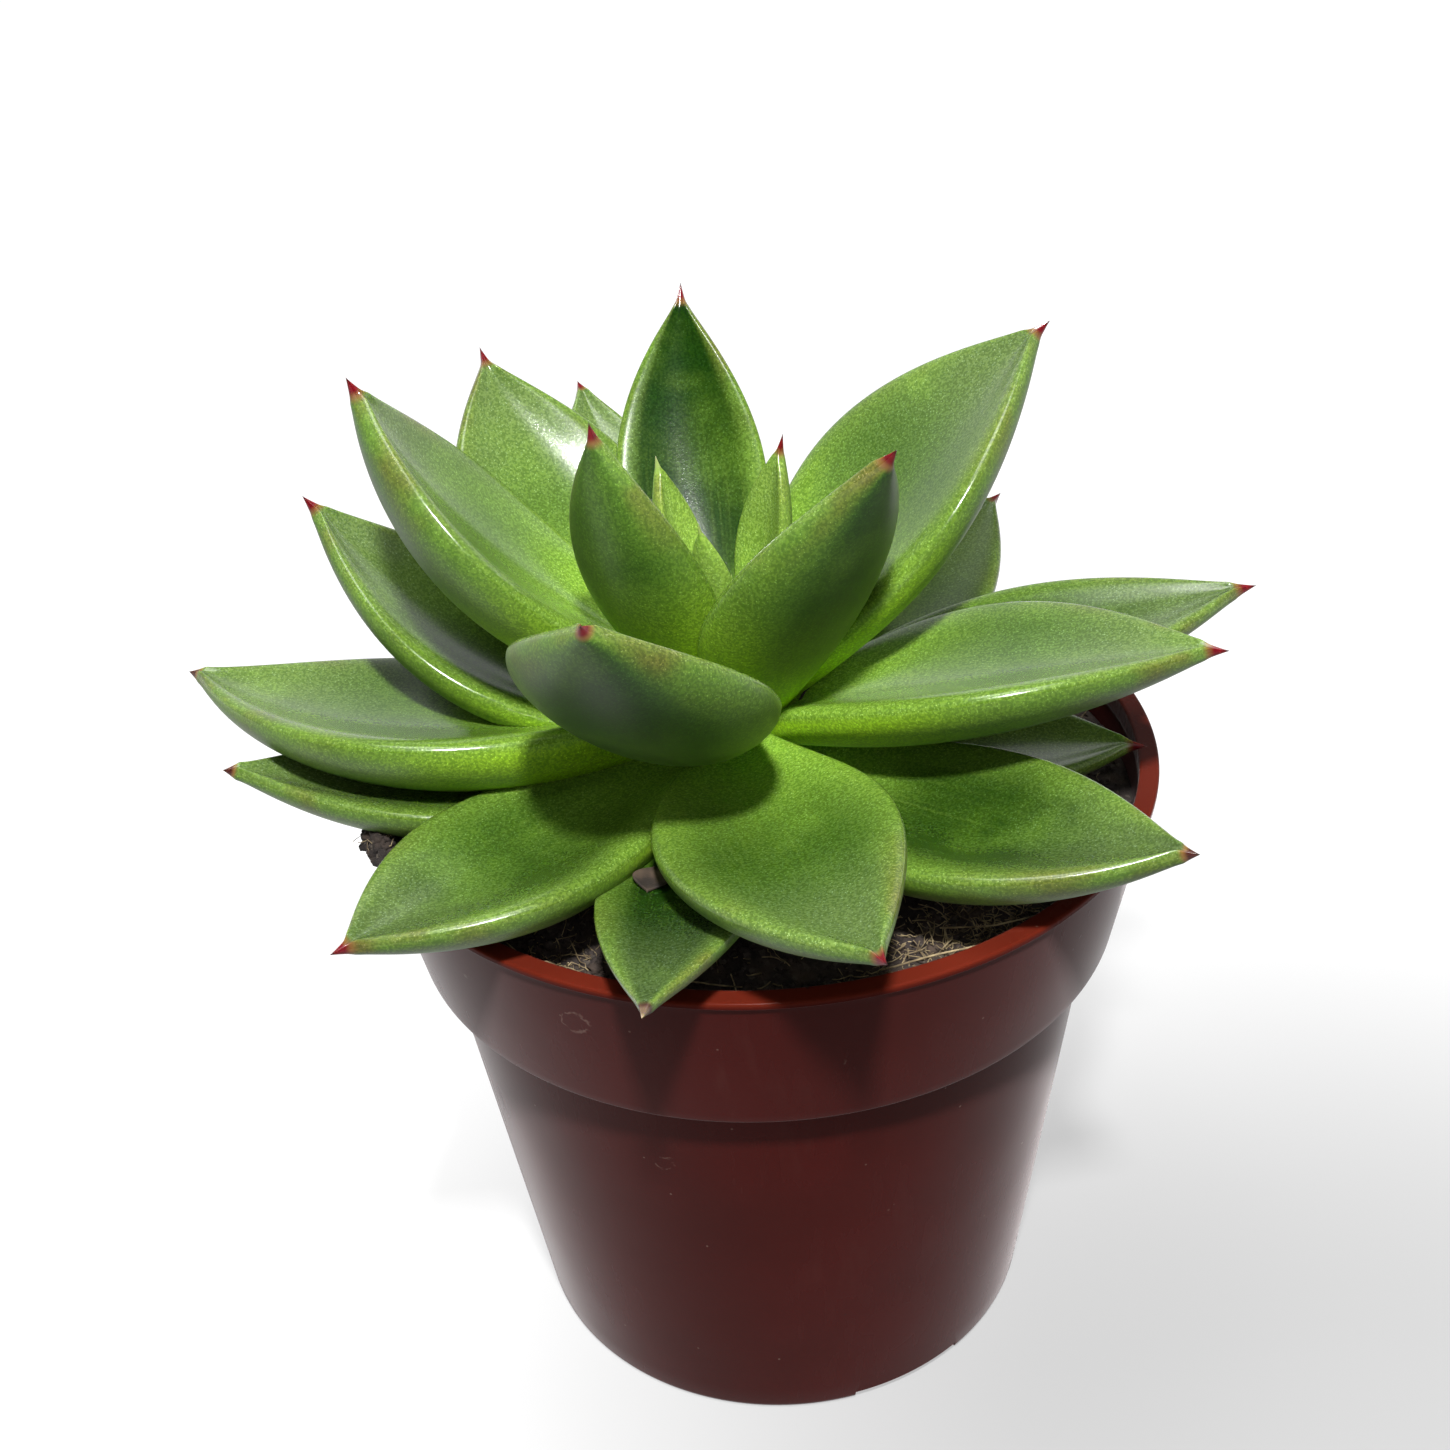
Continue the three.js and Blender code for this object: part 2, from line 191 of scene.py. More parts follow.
class SkinSheet(NodeSheet):
    """A material with its shader, and the patterns that the finishes share."""

    def __init__(self, name: str) -> None:
        """Start a material that has only a shader and its output.

        Args:
            name: Name of the material.
        """
        self.material = bpy.data.materials.new(name)
        self.material.use_nodes = True
        super().__init__(self.material.node_tree)
        self.tree.nodes.clear()
        self.shader = self.add("ShaderNodeBsdfPrincipled")
        self.add("ShaderNodeOutputMaterial", {"Surface": self.shader.outputs[0]})
        self.place = self.add("ShaderNodeTexCoord").outputs["Object"]

    def layer(self, name: str) -> Socket:
        """Return a number that the mesh carries at each vertex."""
        return self.add("ShaderNodeAttribute", attribute_name=name).outputs["Fac"]

    def noise(self, scale: float, detail: float = 2.0, place: Socket | None = None) -> Socket:
        """Return soft noise about 0.5, with its scale in waves a metre."""
        feeds = {"Vector": place or self.place, "Scale": scale, "Detail": detail}
        return self.out("ShaderNodeTexNoise", feeds)

    def cells(self, scale: float) -> Any:
        """Return the outputs of round cells, with their scale in cells a metre."""
        return self.add("ShaderNodeTexVoronoi", {"Vector": self.place, "Scale": scale}).outputs

    def picked(self, cells: Any, spread: float, low: float, high: float) -> Socket:
        """Return a share that picks some of the cells at random, none up to low and fully from high."""
        return self.rise(self.math("FRACT", self.times(cells["Color"], spread)), low, high)

    def coat(self, tone: Any, colour: Any, *shares: Any, kind: str = "MIX") -> Socket:
        """Return a tone with another laid over it, by the product of the shares."""
        feeds = {0: self.times(*shares), 6: tone, 7: colour}
        return self.add("ShaderNodeMix", feeds, data_type="RGBA", blend_type=kind).outputs[2]

    def bump(self, height: Socket, depth: float, normal: Socket | None = None) -> Socket:
        """Make a normal that shows a height pattern.

        Args:
            height: The pattern.
            depth: Its depth in metres.
            normal: A normal that it is laid over, if any.

        Returns:
            The normal.
        """
        feeds: dict[Any, Any] = {"Height": height, "Distance": depth, "Strength": 1.0}
        if normal is not None:
            feeds["Normal"] = normal
        return self.out("ShaderNodeBump", feeds)

    def finish(self, **values: Any) -> Material:
        """Set the shader's inputs and give the material.

        Args:
            **values: Value or socket for each input, named in lower case with underscores.

        Returns:
            The finished material.
        """
        sockets = {socket.name.lower().replace(" ", "_"): socket for socket in self.shader.inputs}
        for name, value in values.items():
            if isinstance(value, Socket):
                self.tree.links.new(value, sockets[name])
            else:
                sockets[name].default_value = value
        return self.material


@dataclass(frozen=True)
class Patches:
    """Soft patches of noise: waves a metre, where a patch starts and is full, its share and its detail."""

    scale: float
    start: float
    full: float
    share: float = 1.0
    detail: float = 3.0

    def on(self, sheet: SkinSheet, place: Socket | None = None) -> Socket:
        """Return how strong the patches are at each point."""
        noise = sheet.noise(self.scale, self.detail, place)
        return sheet.times(sheet.rise(noise, self.start, self.full), self.share)


@dataclass(frozen=True)
class Specks:
    """Rare round specks: cells a metre, how far each reaches, how rare it is, its share and its colour."""

    scale: float
    reach: float
    rarity: float
    share: float
    colour: Colour

    CORE = 0.05
    RARITY_SPAN = 0.04

    def over(self, sheet: SkinSheet, tone: Socket) -> Socket:
        """Lay the specks over a tone.

        Args:
            sheet: The material that the nodes are added to.
            tone: The tone without specks.

        Returns:
            The tone with them.
        """
        cells = sheet.cells(self.scale)
        few = sheet.rise(cells["Color"], self.rarity, self.rarity + self.RARITY_SPAN)
        spot = sheet.rise(cells["Distance"], self.reach, self.CORE)
        return sheet.coat(tone, self.colour, spot, few, self.share)


@dataclass(frozen=True)
class LeafSkin:
    """Waxy leaf skin: yellow-green at the root, grey-green above, fresh green below, stippled all over.

    The mesh carries along, across, upper, deep and to_tip, the last in lengths of the spine. A pair says
    where something starts on such a layer or in the grain, and where it is full. Where deep is high, the
    blade's middle holds painted shade and the outer upper side loses its wash of wax bloom and painted
    sheen.
    """

    tip: Tip
    upper_root: Colour = srgb(138, 178, 62)
    upper: Colour = srgb(77, 105, 38)
    # under_root is partly the leaf base's own pale colour and partly painted glow of light passing through
    # the leaf.
    under_root: Colour = srgb(178, 228, 18)
    under: Colour = srgb(62, 98, 24)
    # dark is painted shade, laid in the blade's middle as far as deep says. It darkens the thick middle as
    # if light shone only through the thinner margins, and it darkens leaves given a high deep for shade and
    # missing sheen.
    dark: Colour = srgb(22, 50, 8)
    margin: Colour = srgb(104, 130, 46)
    young: Colour = srgb(146, 178, 76)
    # film is a pale grey-green wash on the outer upper side, partly wax bloom and partly painted sheen.
    film: Colour = srgb(112, 127, 80)
    blush: Colour = srgb(90, 62, 30)
    stipple: Colour = (2.3, 2.05, 4.2, 1.0)
    pit: Colour = (0.42, 0.5, 0.38, 1.0)

    UPPER_ALONG = (0.1, 0.6)
    UNDER_ALONG = (0.12, 0.64)
    DARK_ALONG = (0.04, 0.4)
    DARK_ACROSS = (1.0, 0.4)
    FILM_ALONG = (0.55, 0.88)
    FILM_SHARE = 0.4
    FILM_ENDS_AT_DEEP = 1.75
    STREAKS = Patches(1.6, 0.45, 0.75, 0.22)
    STREAKS_ALONG = (0.75, 0.3)
    STREAK_STRETCH = 9.0
    BLOTCHES = Patches(75.0, 0.45, 0.75, 0.18)
    RIM_ACROSS = (0.55, 1.0)
    RIM_SHARE = 0.38
    FLUSHES = Patches(120.0, 0.4, 0.7, 0.6, 2.0)
    FLUSH_ALONG = (0.5, 0.97)
    FLUSH_ACROSS = (0.6, 1.0)
    STIPPLE_SCALE = 4400.0
    STIPPLE_REACH = (0.45, 0.12)
    STIPPLE_PICK = (7.3, 0.5, 0.95)
    GRAIN_SCALE = 3000.0
    PIT_GRAIN = (0.62, 0.4)
    PIT_SHARE = 0.7
    TIP_REACHES = ((1.0, 0.72), (0.78, 0.53), (0.36, 0.06))
    SWELL_SCALE = 110.0
    SWELL_DEPTH = 0.07 * MM
    PIMPLE_SHARE = 0.6
    PIMPLE_DEPTH = 0.005 * MM
    FOLD_ACROSS = (0.55, 0.85)
    UNDER_ROUGHNESS = 0.42
    UPPER_GLOSS = 0.28
    FOLD_ROUGHNESS = 0.03
    GRAIN_ROUGHNESS = 0.06

    def tip_tones(self) -> tuple[Colour, Colour, Colour]:
        """Look up the spine's colours.

        Returns:
            The colours at its foot, its middle and its point.
        """
        return {
            Tip.PALE: (srgb(118, 144, 66), srgb(134, 152, 88), srgb(166, 170, 120)),
            Tip.CRIMSON: (srgb(104, 74, 40), srgb(92, 8, 18), srgb(30, 5, 10)),
            Tip.DARK: (srgb(112, 80, 44), srgb(60, 26, 22), srgb(26, 12, 12)),
            Tip.WITHERED: (srgb(60, 34, 30), srgb(96, 78, 64), srgb(160, 140, 112)),
        }[self.tip]

    def body_tone(self, sheet: SkinSheet) -> Socket:
        """Mix the blade's colour before its stipple and its spine.

        Args:
            sheet: The material that the nodes are added to.

        Returns:
            The colour.
        """
        along, across, top, deep = (sheet.layer(name) for name in ("along", "across", "upper", "deep"))
        edge = sheet.math("ABSOLUTE", across)
        upper = sheet.coat(self.upper_root, self.upper, sheet.rise(along, *self.UPPER_ALONG))
        under = sheet.coat(self.under_root, self.under, sheet.rise(along, *self.UNDER_ALONG))
        tone = sheet.coat(under, upper, top)
        # Painted shade: the dark colour laid in the blade's middle, as much as deep says.
        middle = sheet.times(sheet.rise(along, *self.DARK_ALONG), sheet.rise(edge, *self.DARK_ACROSS))
        tone = sheet.coat(tone, self.dark, middle, deep)
        # A pale wash on the outer upper side, partly wax bloom and partly painted sheen, thinned where deep
        # is high.
        bright = sheet.math("SUBTRACT", self.FILM_ENDS_AT_DEEP, deep, clamp=True)
        tone = sheet.coat(tone, self.film, sheet.rise(along, *self.FILM_ALONG), top, bright, self.FILM_SHARE)
        tone = sheet.coat(tone, self.young, deep, -1.0)
        flow = sheet.packed(along, sheet.times(across, self.STREAK_STRETCH), deep)
        outer = sheet.rise(along, *self.STREAKS_ALONG)
        tone = sheet.coat(tone, self.margin, self.STREAKS.on(sheet, flow), outer)
        tone = sheet.coat(tone, self.upper_root, self.BLOTCHES.on(sheet))
        tone = sheet.coat(tone, self.margin, sheet.rise(edge, *self.RIM_ACROSS), self.RIM_SHARE)
        flush = sheet.times(sheet.rise(edge, *self.FLUSH_ACROSS), sheet.rise(along, *self.FLUSH_ALONG))
        return sheet.coat(tone, self.blush, flush, self.FLUSHES.on(sheet))

    def material(self) -> Material:
        """Make the skin.

        Returns:
            The material.
        """
        sheet = SkinSheet(f"leaf_skin_{self.tip.value}")
        cells = sheet.cells(self.STIPPLE_SCALE)
        near = sheet.rise(cells["Distance"], *self.STIPPLE_REACH)
        grain = sheet.noise(self.GRAIN_SCALE, detail=1.0)
        gaps = sheet.rise(grain, *self.PIT_GRAIN)
        tone = sheet.coat(self.body_tone(sheet), self.pit, gaps, self.PIT_SHARE, kind="MULTIPLY")
        lit = sheet.picked(cells, *self.STIPPLE_PICK)
        tone = sheet.coat(tone, self.stipple, near, lit, kind="MULTIPLY")
        to_tip = sheet.layer("to_tip")
        for reach, colour in zip(self.TIP_REACHES, self.tip_tones()):
            tone = sheet.coat(tone, colour, sheet.rise(to_tip, *reach))
        swell = sheet.bump(sheet.noise(self.SWELL_SCALE, detail=1.0), self.SWELL_DEPTH)
        normal = sheet.bump(sheet.line(near, self.PIMPLE_SHARE, grain), self.PIMPLE_DEPTH, swell)
        fold = sheet.rise(sheet.math("ABSOLUTE", sheet.layer("across")), *self.FOLD_ACROSS)
        dull = sheet.line(sheet.layer("upper"), -self.UPPER_GLOSS, self.UNDER_ROUGHNESS)
        rough = sheet.line(grain, self.GRAIN_ROUGHNESS, sheet.line(fold, self.FOLD_ROUGHNESS, dull))
        return sheet.finish(
            base_color=tone, roughness=rough, normal=normal, subsurface_weight=0.3,
            subsurface_radius=(0.7, 1.0, 0.15), subsurface_scale=3.0 * MM, specular_ior_level=0.42,
        )


@dataclass(frozen=True)
class StemSkin:
    """Dull green bark of the short stem, browner towards the soil."""

    green: Colour = srgb(126, 146, 78)
    brown: Colour = srgb(96, 82, 58)

    BROWN_BELOW = 0.09
    GREEN_ABOVE = 0.115
    WAVE = 0.02
    CRACK_DEPTH = 0.15 * MM

    def material(self) -> Material:
        """Make the bark.

        Returns:
            The material.
        """
        sheet = SkinSheet("stem_bark")
        patchy = sheet.line(sheet.noise(scale=260.0, detail=4.0), self.WAVE, sheet.parts(sheet.place)[2])
        tone = sheet.coat(self.brown, self.green, sheet.rise(patchy, self.BROWN_BELOW, self.GREEN_ABOVE))
        normal = sheet.bump(sheet.noise(scale=900.0, detail=4.0), self.CRACK_DEPTH)
        return sheet.finish(base_color=tone, roughness=0.7, normal=normal)


@dataclass(frozen=True)
class PotPlastic:
    """Thin satin plastic, brick red and redder at its thin rim, which is partly painted glow of light
    through the thin plastic, with dust, smudges and fine scratches.
    """

    red: Colour = srgb(62, 11, 7)
    deep: Colour = srgb(53, 9, 5)
    # thin is partly the rim's own redder tone and partly painted glow of light through the thin plastic.
    thin: Colour = srgb(82, 26, 15)
    dust: Colour = srgb(120, 96, 86)
    smudges: tuple[tuple[float, float, float, float], ...] = (
        (-23.6, -45.3, 80.6, 3.9), (-15.1, -40.6, 53.1, 3.0), (-36.8, -34.9, 80.1, 2.8),
        (7.0, -48.5, 76.0, 2.8),
    )

    RIM_HEIGHTS = (87.1 * MM, 87.8 * MM)
    CLOUD_SCALE = 28.0
    CLOUD_TINT = (0.3, 0.7)
    CLOUD_DUST = (0.45, 0.75)
    STREAKS = Patches(420.0, 0.5, 0.8, detail=4.0)
    STREAK_STRETCH = (1.0, 1.0, 0.12)
    STREAK_SHARE = 0.05
    SMUDGE_WAVE = 4.0 * MM
    SMUDGE_LINE = (0.3 * MM, 0.04 * MM)
    SMUDGE_BREAKS = Patches(900.0, 0.42, 0.62)
    SMUDGE_SHARE = 0.4
    SPECKS = (
        Specks(480.0, 0.1, 0.8, 0.55, srgb(120, 96, 86)),
        Specks(260.0, 0.09, 0.86, 0.8, srgb(40, 20, 16)),
    )
    ROUGHNESS = 0.2
    CLOUD_ROUGHNESS = 0.12
    DUST_ROUGHNESS = 0.18
    RIPPLE_DEPTH = 0.12 * MM
    SCRATCH_DEPTH = 0.006 * MM

    def smudged(self, sheet: SkinSheet) -> Socket:
        """Work out where the smudges lie, broken up by fine noise.

        Args:
            sheet: The material that the nodes are added to.

        Returns:
            How much each point lies in one.
        """
        whole: Any = 0.0
        wave = sheet.noise(scale=420.0, detail=4.0)
        for x, y, z, radius in self.smudges:
            wavy = sheet.line(wave, self.SMUDGE_WAVE, sheet.away(sheet.place, (x * MM, y * MM, z * MM)))
            ring = sheet.math("ABSOLUTE", sheet.math("SUBTRACT", wavy, radius * MM))
            whole = sheet.math("ADD", whole, sheet.rise(ring, *self.SMUDGE_LINE), clamp=True)
        return sheet.times(whole, self.SMUDGE_BREAKS.on(sheet))

    def material(self) -> Material:
        """Make the plastic.

        Returns:
            The material.
        """
        sheet = SkinSheet("pot_plastic")
        cloud = sheet.noise(self.CLOUD_SCALE, detail=3.0)
        tone = sheet.coat(self.deep, self.red, sheet.rise(cloud, *self.CLOUD_TINT))
        # The rim's colour from its height up: partly its own redder tone, partly painted glow through the
        # thin plastic.
        tone = sheet.coat(tone, self.thin, sheet.rise(sheet.parts(sheet.place)[2], *self.RIM_HEIGHTS))
        feeds = {"Vector": sheet.place, "Scale": self.STREAK_STRETCH}
        streaks = self.STREAKS.on(sheet, sheet.out("ShaderNodeMapping", feeds))
        film = sheet.times(streaks, sheet.rise(cloud, *self.CLOUD_DUST))
        tone = sheet.coat(tone, self.dust, film, self.STREAK_SHARE)
        tone = sheet.coat(tone, self.dust, self.smudged(sheet), self.SMUDGE_SHARE)
        for specks in self.SPECKS:
            tone = specks.over(sheet, tone)
        rough = sheet.line(cloud, self.CLOUD_ROUGHNESS, self.ROUGHNESS)
        rough = sheet.line(film, self.DUST_ROUGHNESS, rough)
        ripple = sheet.bump(sheet.noise(scale=55.0, detail=1.0), self.RIPPLE_DEPTH)
        normal = sheet.bump(sheet.noise(scale=1500.0, detail=2.0), self.SCRATCH_DEPTH, ripple)
        return sheet.finish(
            base_color=tone, roughness=rough, normal=normal, subsurface_weight=0.08,
            subsurface_radius=(1.0, 0.2, 0.1), subsurface_scale=1.0 * MM, specular_ior_level=0.035,
            sheen_weight=0.22, sheen_roughness=0.28, sheen_tint=srgb(250, 238, 238),
        )


@dataclass(frozen=True)
class Peat:
    """Dark, crumbly peat with browner and paler grains."""

    name: str = "peat"
    dark: Colour = srgb(50, 43, 40)
    brown: Colour = srgb(70, 58, 49)
    pale: Colour = srgb(92, 84, 74)

    BROWNING = Patches(330.0, 0.42, 0.72, detail=5.0)
    GRIT_SCALE = 1700.0
    GRIT_PICK = (5.1, 0.86, 0.98)
    GRIT_SHARE = 0.5

    def material(self) -> Material:
        """Make the peat.

        Returns:
            The material.
        """
        sheet = SkinSheet(self.name)
        tone = sheet.coat(self.dark, self.brown, self.BROWNING.on(sheet))
        grit = sheet.picked(sheet.cells(self.GRIT_SCALE), *self.GRIT_PICK)
        tone = sheet.coat(tone, self.pale, grit, self.GRIT_SHARE)
        normal = sheet.bump(sheet.noise(scale=1300.0, detail=5.0), depth=0.5 * MM)
        return sheet.finish(base_color=tone, roughness=0.92, normal=normal, specular_ior_level=0.3)


@dataclass(frozen=True)
class DryFibre:
    """Straw-coloured plant fibre, bleached in places."""

    name: str = "dry_fibre"
    straw: Colour = srgb(82, 67, 46)
    bleached: Colour = srgb(158, 140, 104)

    BLEACHING = Patches(380.0, 0.35, 0.68)

    def material(self) -> Material:
        """Make the fibre's straw.

        Returns:
            The material.
        """
        sheet = SkinSheet(self.name)
        tone = sheet.coat(self.straw, self.bleached, self.BLEACHING.on(sheet))
        normal = sheet.bump(sheet.noise(scale=4000.0, detail=2.0), depth=0.05 * MM)
        return sheet.finish(base_color=tone, roughness=0.75, normal=normal)


@dataclass(frozen=True)
class PaleFloor:
    """Plain matt table top, with a white glow that is weaker at the front right of the pot, as a painted
    shadow, and in front of the pot.
    """

    white: Colour = (0.15, 0.15, 0.15, 1.0)
    glow: Colour = (1.0, 1.0, 1.0, 1.0)

    DIM_PLACE = (0.078, -0.06, 0.0)
    DIM_REACH = (0.03, 0.19)
    LEAST_GLOW = 0.39
    GLOW_GAIN = 0.56
    FRONT = (-0.15, -0.06)
    FRONT_SHARE = 0.2

    def material(self) -> Material:
        """Make the floor's white, with its glow.

        Returns:
            The material.
        """
        sheet = SkinSheet("pale_floor")
        # Painted shadow: the glow is dimmest near a point at the pot's front right.
        bright = sheet.rise(sheet.away(sheet.place, self.DIM_PLACE), *self.DIM_REACH)
        back = sheet.rise(sheet.parts(sheet.place)[1], *self.FRONT)
        glow = sheet.times(sheet.line(bright, self.GLOW_GAIN, self.LEAST_GLOW),
                           sheet.line(back, 1 - self.FRONT_SHARE, self.FRONT_SHARE))
        return sheet.finish(base_color=self.white, roughness=0.6, specular_ior_level=0.1,
                            emission_color=self.glow, emission_strength=glow)


class ShapeTree(NodeSheet):
    """A geometry tree with named inputs. It ends in Realize Instances and Set Material."""

    KINDS = {
        "Geometry": "NodeSocketGeometry", "Material": "NodeSocketMaterial", "int": "NodeSocketInt",
        "float": "NodeSocketFloat", "Collection": "NodeSocketCollection",
    }
    WELD = 0.002 * MM

    def __init__(self, name: str, **inputs: str) -> None:
        """Start a tree.

        Args:
            name: The tree's name.
            **inputs: The kind of each input that it takes besides its geometry and its material.
        """
        super().__init__(bpy.data.node_groups.new(name, "GeometryNodeTree"))
        face = self.tree.interface
        face.new_socket(name="Geometry", in_out="OUTPUT", socket_type=self.KINDS["Geometry"])
        for label, kind in {"geometry": "Geometry", **inputs, "material": "Material"}.items():
            face.new_socket(name=label, in_out="INPUT", socket_type=self.KINDS[kind])
        self.given = self.add("NodeGroupInput").outputs

    def named(self, name: str, kind: str = "FLOAT") -> Socket:
        """Return a layer of values by its name."""
        return self.out("GeometryNodeInputNamedAttribute", {"Name": name}, data_type=kind)

    def at_row(self, value: Socket, row: Socket, kind: str = "FLOAT") -> Socket:
        """Return the value that the given geometry has at a row of its points."""
        feeds = {"Geometry": self.given["geometry"], "Value": value, "Index": row}
        return self.out("GeometryNodeSampleIndex", feeds, data_type=kind)

    def layer_at(self, name: str, row: Socket, kind: str = "FLOAT") -> Socket:
        """Return what a layer says at a row of the given points."""
        return self.at_row(self.named(name, kind), row, kind)

    def place_at(self, row: Socket) -> Socket:
        """Return the place of a row of the given points."""
        return self.at_row(self.out("GeometryNodeInputPosition"), row, "FLOAT_VECTOR")

    def stored(self, shape: Socket, name: str, value: Socket) -> Socket:
        """Return the geometry with a layer of values added to its points."""
        feeds = {"Geometry": shape, "Name": name, "Value": value}
        return self.out("GeometryNodeStoreNamedAttribute", feeds)

    def moved(self, shape: Socket, **places: Socket) -> Socket:
        """Return the geometry with its points at a new Position, or pushed by an Offset."""
        return self.out("GeometryNodeSetPosition", {0: shape, **places})

    def welded(self, shape: Socket) -> Socket:
        """Return the geometry with the points that lie on each other merged."""
        return self.out("GeometryNodeMergeByDistance", {0: shape, "Distance": self.WELD})

    def sheet_of_rows(self) -> tuple[Socket, Socket, Socket]:
        """Lay out a grid with a row for each given point and a column for each side.

        Returns:
            The grid, its row numbers and its angles round the shape.
        """
        size = self.add("GeometryNodeAttributeDomainSize", {0: self.given["geometry"]})
        columns = self.math("ADD", self.given["sides"], 1.0)
        feeds = {"Vertices X": size.outputs["Point Count"], "Vertices Y": columns}
        grid = self.out("GeometryNodeMeshGrid", feeds)
        index = self.out("GeometryNodeInputIndex")
        row = self.math("FLOOR", self.math("DIVIDE", self.math("ADD", index, 0.5), columns))
        column = self.math("SUBTRACT", index, self.times(row, columns))
        angle = self.math("DIVIDE", self.times(column, -math.tau), self.given["sides"])
        return grid, row, angle

    def end(self, shape: Socket) -> Tree:
        """Close the tree on a shape.

        Args:
            shape: The geometry that the tree gives.

        Returns:
            The finished tree.
        """
        real = self.out("GeometryNodeRealizeInstances", {0: shape})
        smooth = self.out("GeometryNodeSetShadeSmooth", {0: real})
        feeds = {0: smooth, "Material": self.given["material"]}
        dressed = self.out("GeometryNodeSetMaterial", feeds)
        self.add("NodeGroupOutput", {0: dressed})
        return self.tree


def turned_tree() -> Tree:
    """Make the tree that turns a profile about +Z.

    The given points are the profile, in its XZ plane, and their layer lump says how far each row may be
    pushed up or down at random.

    Returns:
        The tree.
    """
    tree = ShapeTree("turned_shape", sides="int", lump_size="float", lump_height="float")
    given = tree.given
    grid, row, angle = tree.sheet_of_rows()
    radius, _, height = tree.parts(tree.place_at(row))
    x, y = (tree.times(radius, tree.math(way, angle)) for way in ("COSINE", "SINE"))
    shape = tree.moved(grid, Position=tree.packed(x, y, height))
    noise = tree.out("ShaderNodeTexNoise", {"Scale": given["lump_size"], "Detail": 6.0})
    push = tree.times(tree.math("SUBTRACT", noise, 0.5), given["lump_height"], tree.layer_at("lump", row))
    return tree.end(tree.welded(tree.moved(shape, Offset=tree.packed(z=push))))


def blade_tree() -> Tree:
    """Make the tree that gives a leaf its thick, hollowed section along a midrib.

    The given points are the midrib. Their layers side, up, half_width, over and under turn and size each
    section.

    Returns:
        The tree.
    """
    powers = {name: "float" for name in ("section_power", "over_power", "under_power")}
    tree = ShapeTree("leaf_blade", sides="int", margin_rise="float", margin_roll="float", **powers)
    given = tree.given
    grid, row, angle = tree.sheet_of_rows()
    side, up = (tree.layer_at(name, row, "FLOAT_VECTOR") for name in ("side", "up"))
    half, over, under = (tree.layer_at(name, row) for name in ("half_width", "over", "under"))
    cosine, sine = tree.math("COSINE", angle), tree.math("SINE", angle)
    reach = tree.math("POWER", tree.math("ABSOLUTE", cosine), given["section_power"])
    across = tree.times(tree.math("SIGN", cosine), reach)
    height = tree.math("ABSOLUTE", sine)
    square = tree.times(across, across)
    roll = tree.times(square, height, given["margin_roll"])
    flat = tree.math("POWER", height, given["over_power"])
    above = tree.times(over, tree.math("ADD", flat, roll))
    below = tree.times(under, tree.math("POWER", height, given["under_power"]))
    top = tree.math("GREATER_THAN", sine, 0.0)
    lift = tree.math("SUBTRACT", tree.times(above, top), tree.times(below, tree.math("SUBTRACT", 1.0, top)))
    lift = tree.math("ADD", lift, tree.times(square, given["margin_rise"], half))
    place = tree.vector("ADD", tree.place_at(row), tree.scaled(side, tree.times(half, across)))
    shape = tree.moved(grid, Position=tree.vector("ADD", place, tree.scaled(up, lift)))
    shape = tree.stored(shape, "across", across)
    fade = 0.12
    shape = tree.stored(shape, "upper", tree.rise(sine, -fade, fade))
    for name in ("along", "to_tip", "deep"):
        shape = tree.stored(shape, name, tree.layer_at(name, row))
    return tree.end(tree.welded(shape))


def strand_tree() -> Tree:
    """Make the tree that turns lines of points into crooked strands.

    Returns:
        The tree.
    """
    tree = ShapeTree("dry_strand", stretches="int", radius="float", crook="float", crook_size="float")
    given = tree.given
    line = tree.out("GeometryNodeMeshToCurve", {0: given["geometry"]})
    line = tree.out("GeometryNodeResampleCurve", {0: line, "Count": given["stretches"]})
    noise = tree.add("ShaderNodeTexNoise", {"Scale": given["crook_size"], "Detail": 1.0}).outputs["Color"]
    push = tree.scaled(tree.vector("SUBTRACT", noise, (0.5, 0.5, 0.5)), given["crook"])
    line = tree.moved(line, Offset=push)
    feeds = {"Resolution": STRAND_SIDES, "Radius": given["radius"]}
    ring = tree.out("GeometryNodeCurvePrimitiveCircle", feeds)
    feeds = {"Curve": line, "Profile Curve": ring, "Fill Caps": True}
    return tree.end(tree.out("GeometryNodeCurveToMesh", feeds))


def litter_tree() -> Tree:
    """Make the tree that strews loose shapes over a surface.

    The given surface's layer litter is the share of the full density, and one shape of the collection is
    picked for each point.

    Returns:
        The tree.
    """
    tree = ShapeTree("strewn_litter", shapes="Collection", density="float", seed="int", smallest="float",
                     largest="float", tilt="float")
    given = tree.given
    tilt, seed = given["tilt"], given["seed"]
    density = tree.times(given["density"], tree.named("litter"))
    feeds = {"Mesh": given["geometry"], "Density": density, "Seed": seed}
    points = tree.add("GeometryNodeDistributePointsOnFaces", feeds).outputs
    feeds = {"Collection": given["shapes"], "Separate Children": True, "Reset Children": True}
    shapes = tree.out("GeometryNodeCollectionInfo", feeds)
    size = tree.add("FunctionNodeRandomValue", {2: given["smallest"], 3: given["largest"], "Seed": seed})
    back = tree.times(tilt, -1.0)
    feeds = {0: tree.packed(back, back, -math.pi), 1: tree.packed(tilt, tilt, math.pi), "Seed": seed}
    turn = tree.out("FunctionNodeRandomValue", feeds, data_type="FLOAT_VECTOR")
    feeds = {"Points": points[0], "Instance": shapes, "Pick Instance": True, "Rotation": turn,
             "Scale": size.outputs[1]}
    return tree.end(tree.out("GeometryNodeInstanceOnPoints", feeds))


def placed(name: str, data: Any) -> Thing:
    """Put data into the scene as a new object.

    Args:
        name: Name of the object.
        data: What it holds, such as a mesh.

    Returns:
        The object.
    """
    thing = bpy.data.objects.new(name, data)
    bpy.context.scene.collection.objects.link(thing)
    return thing


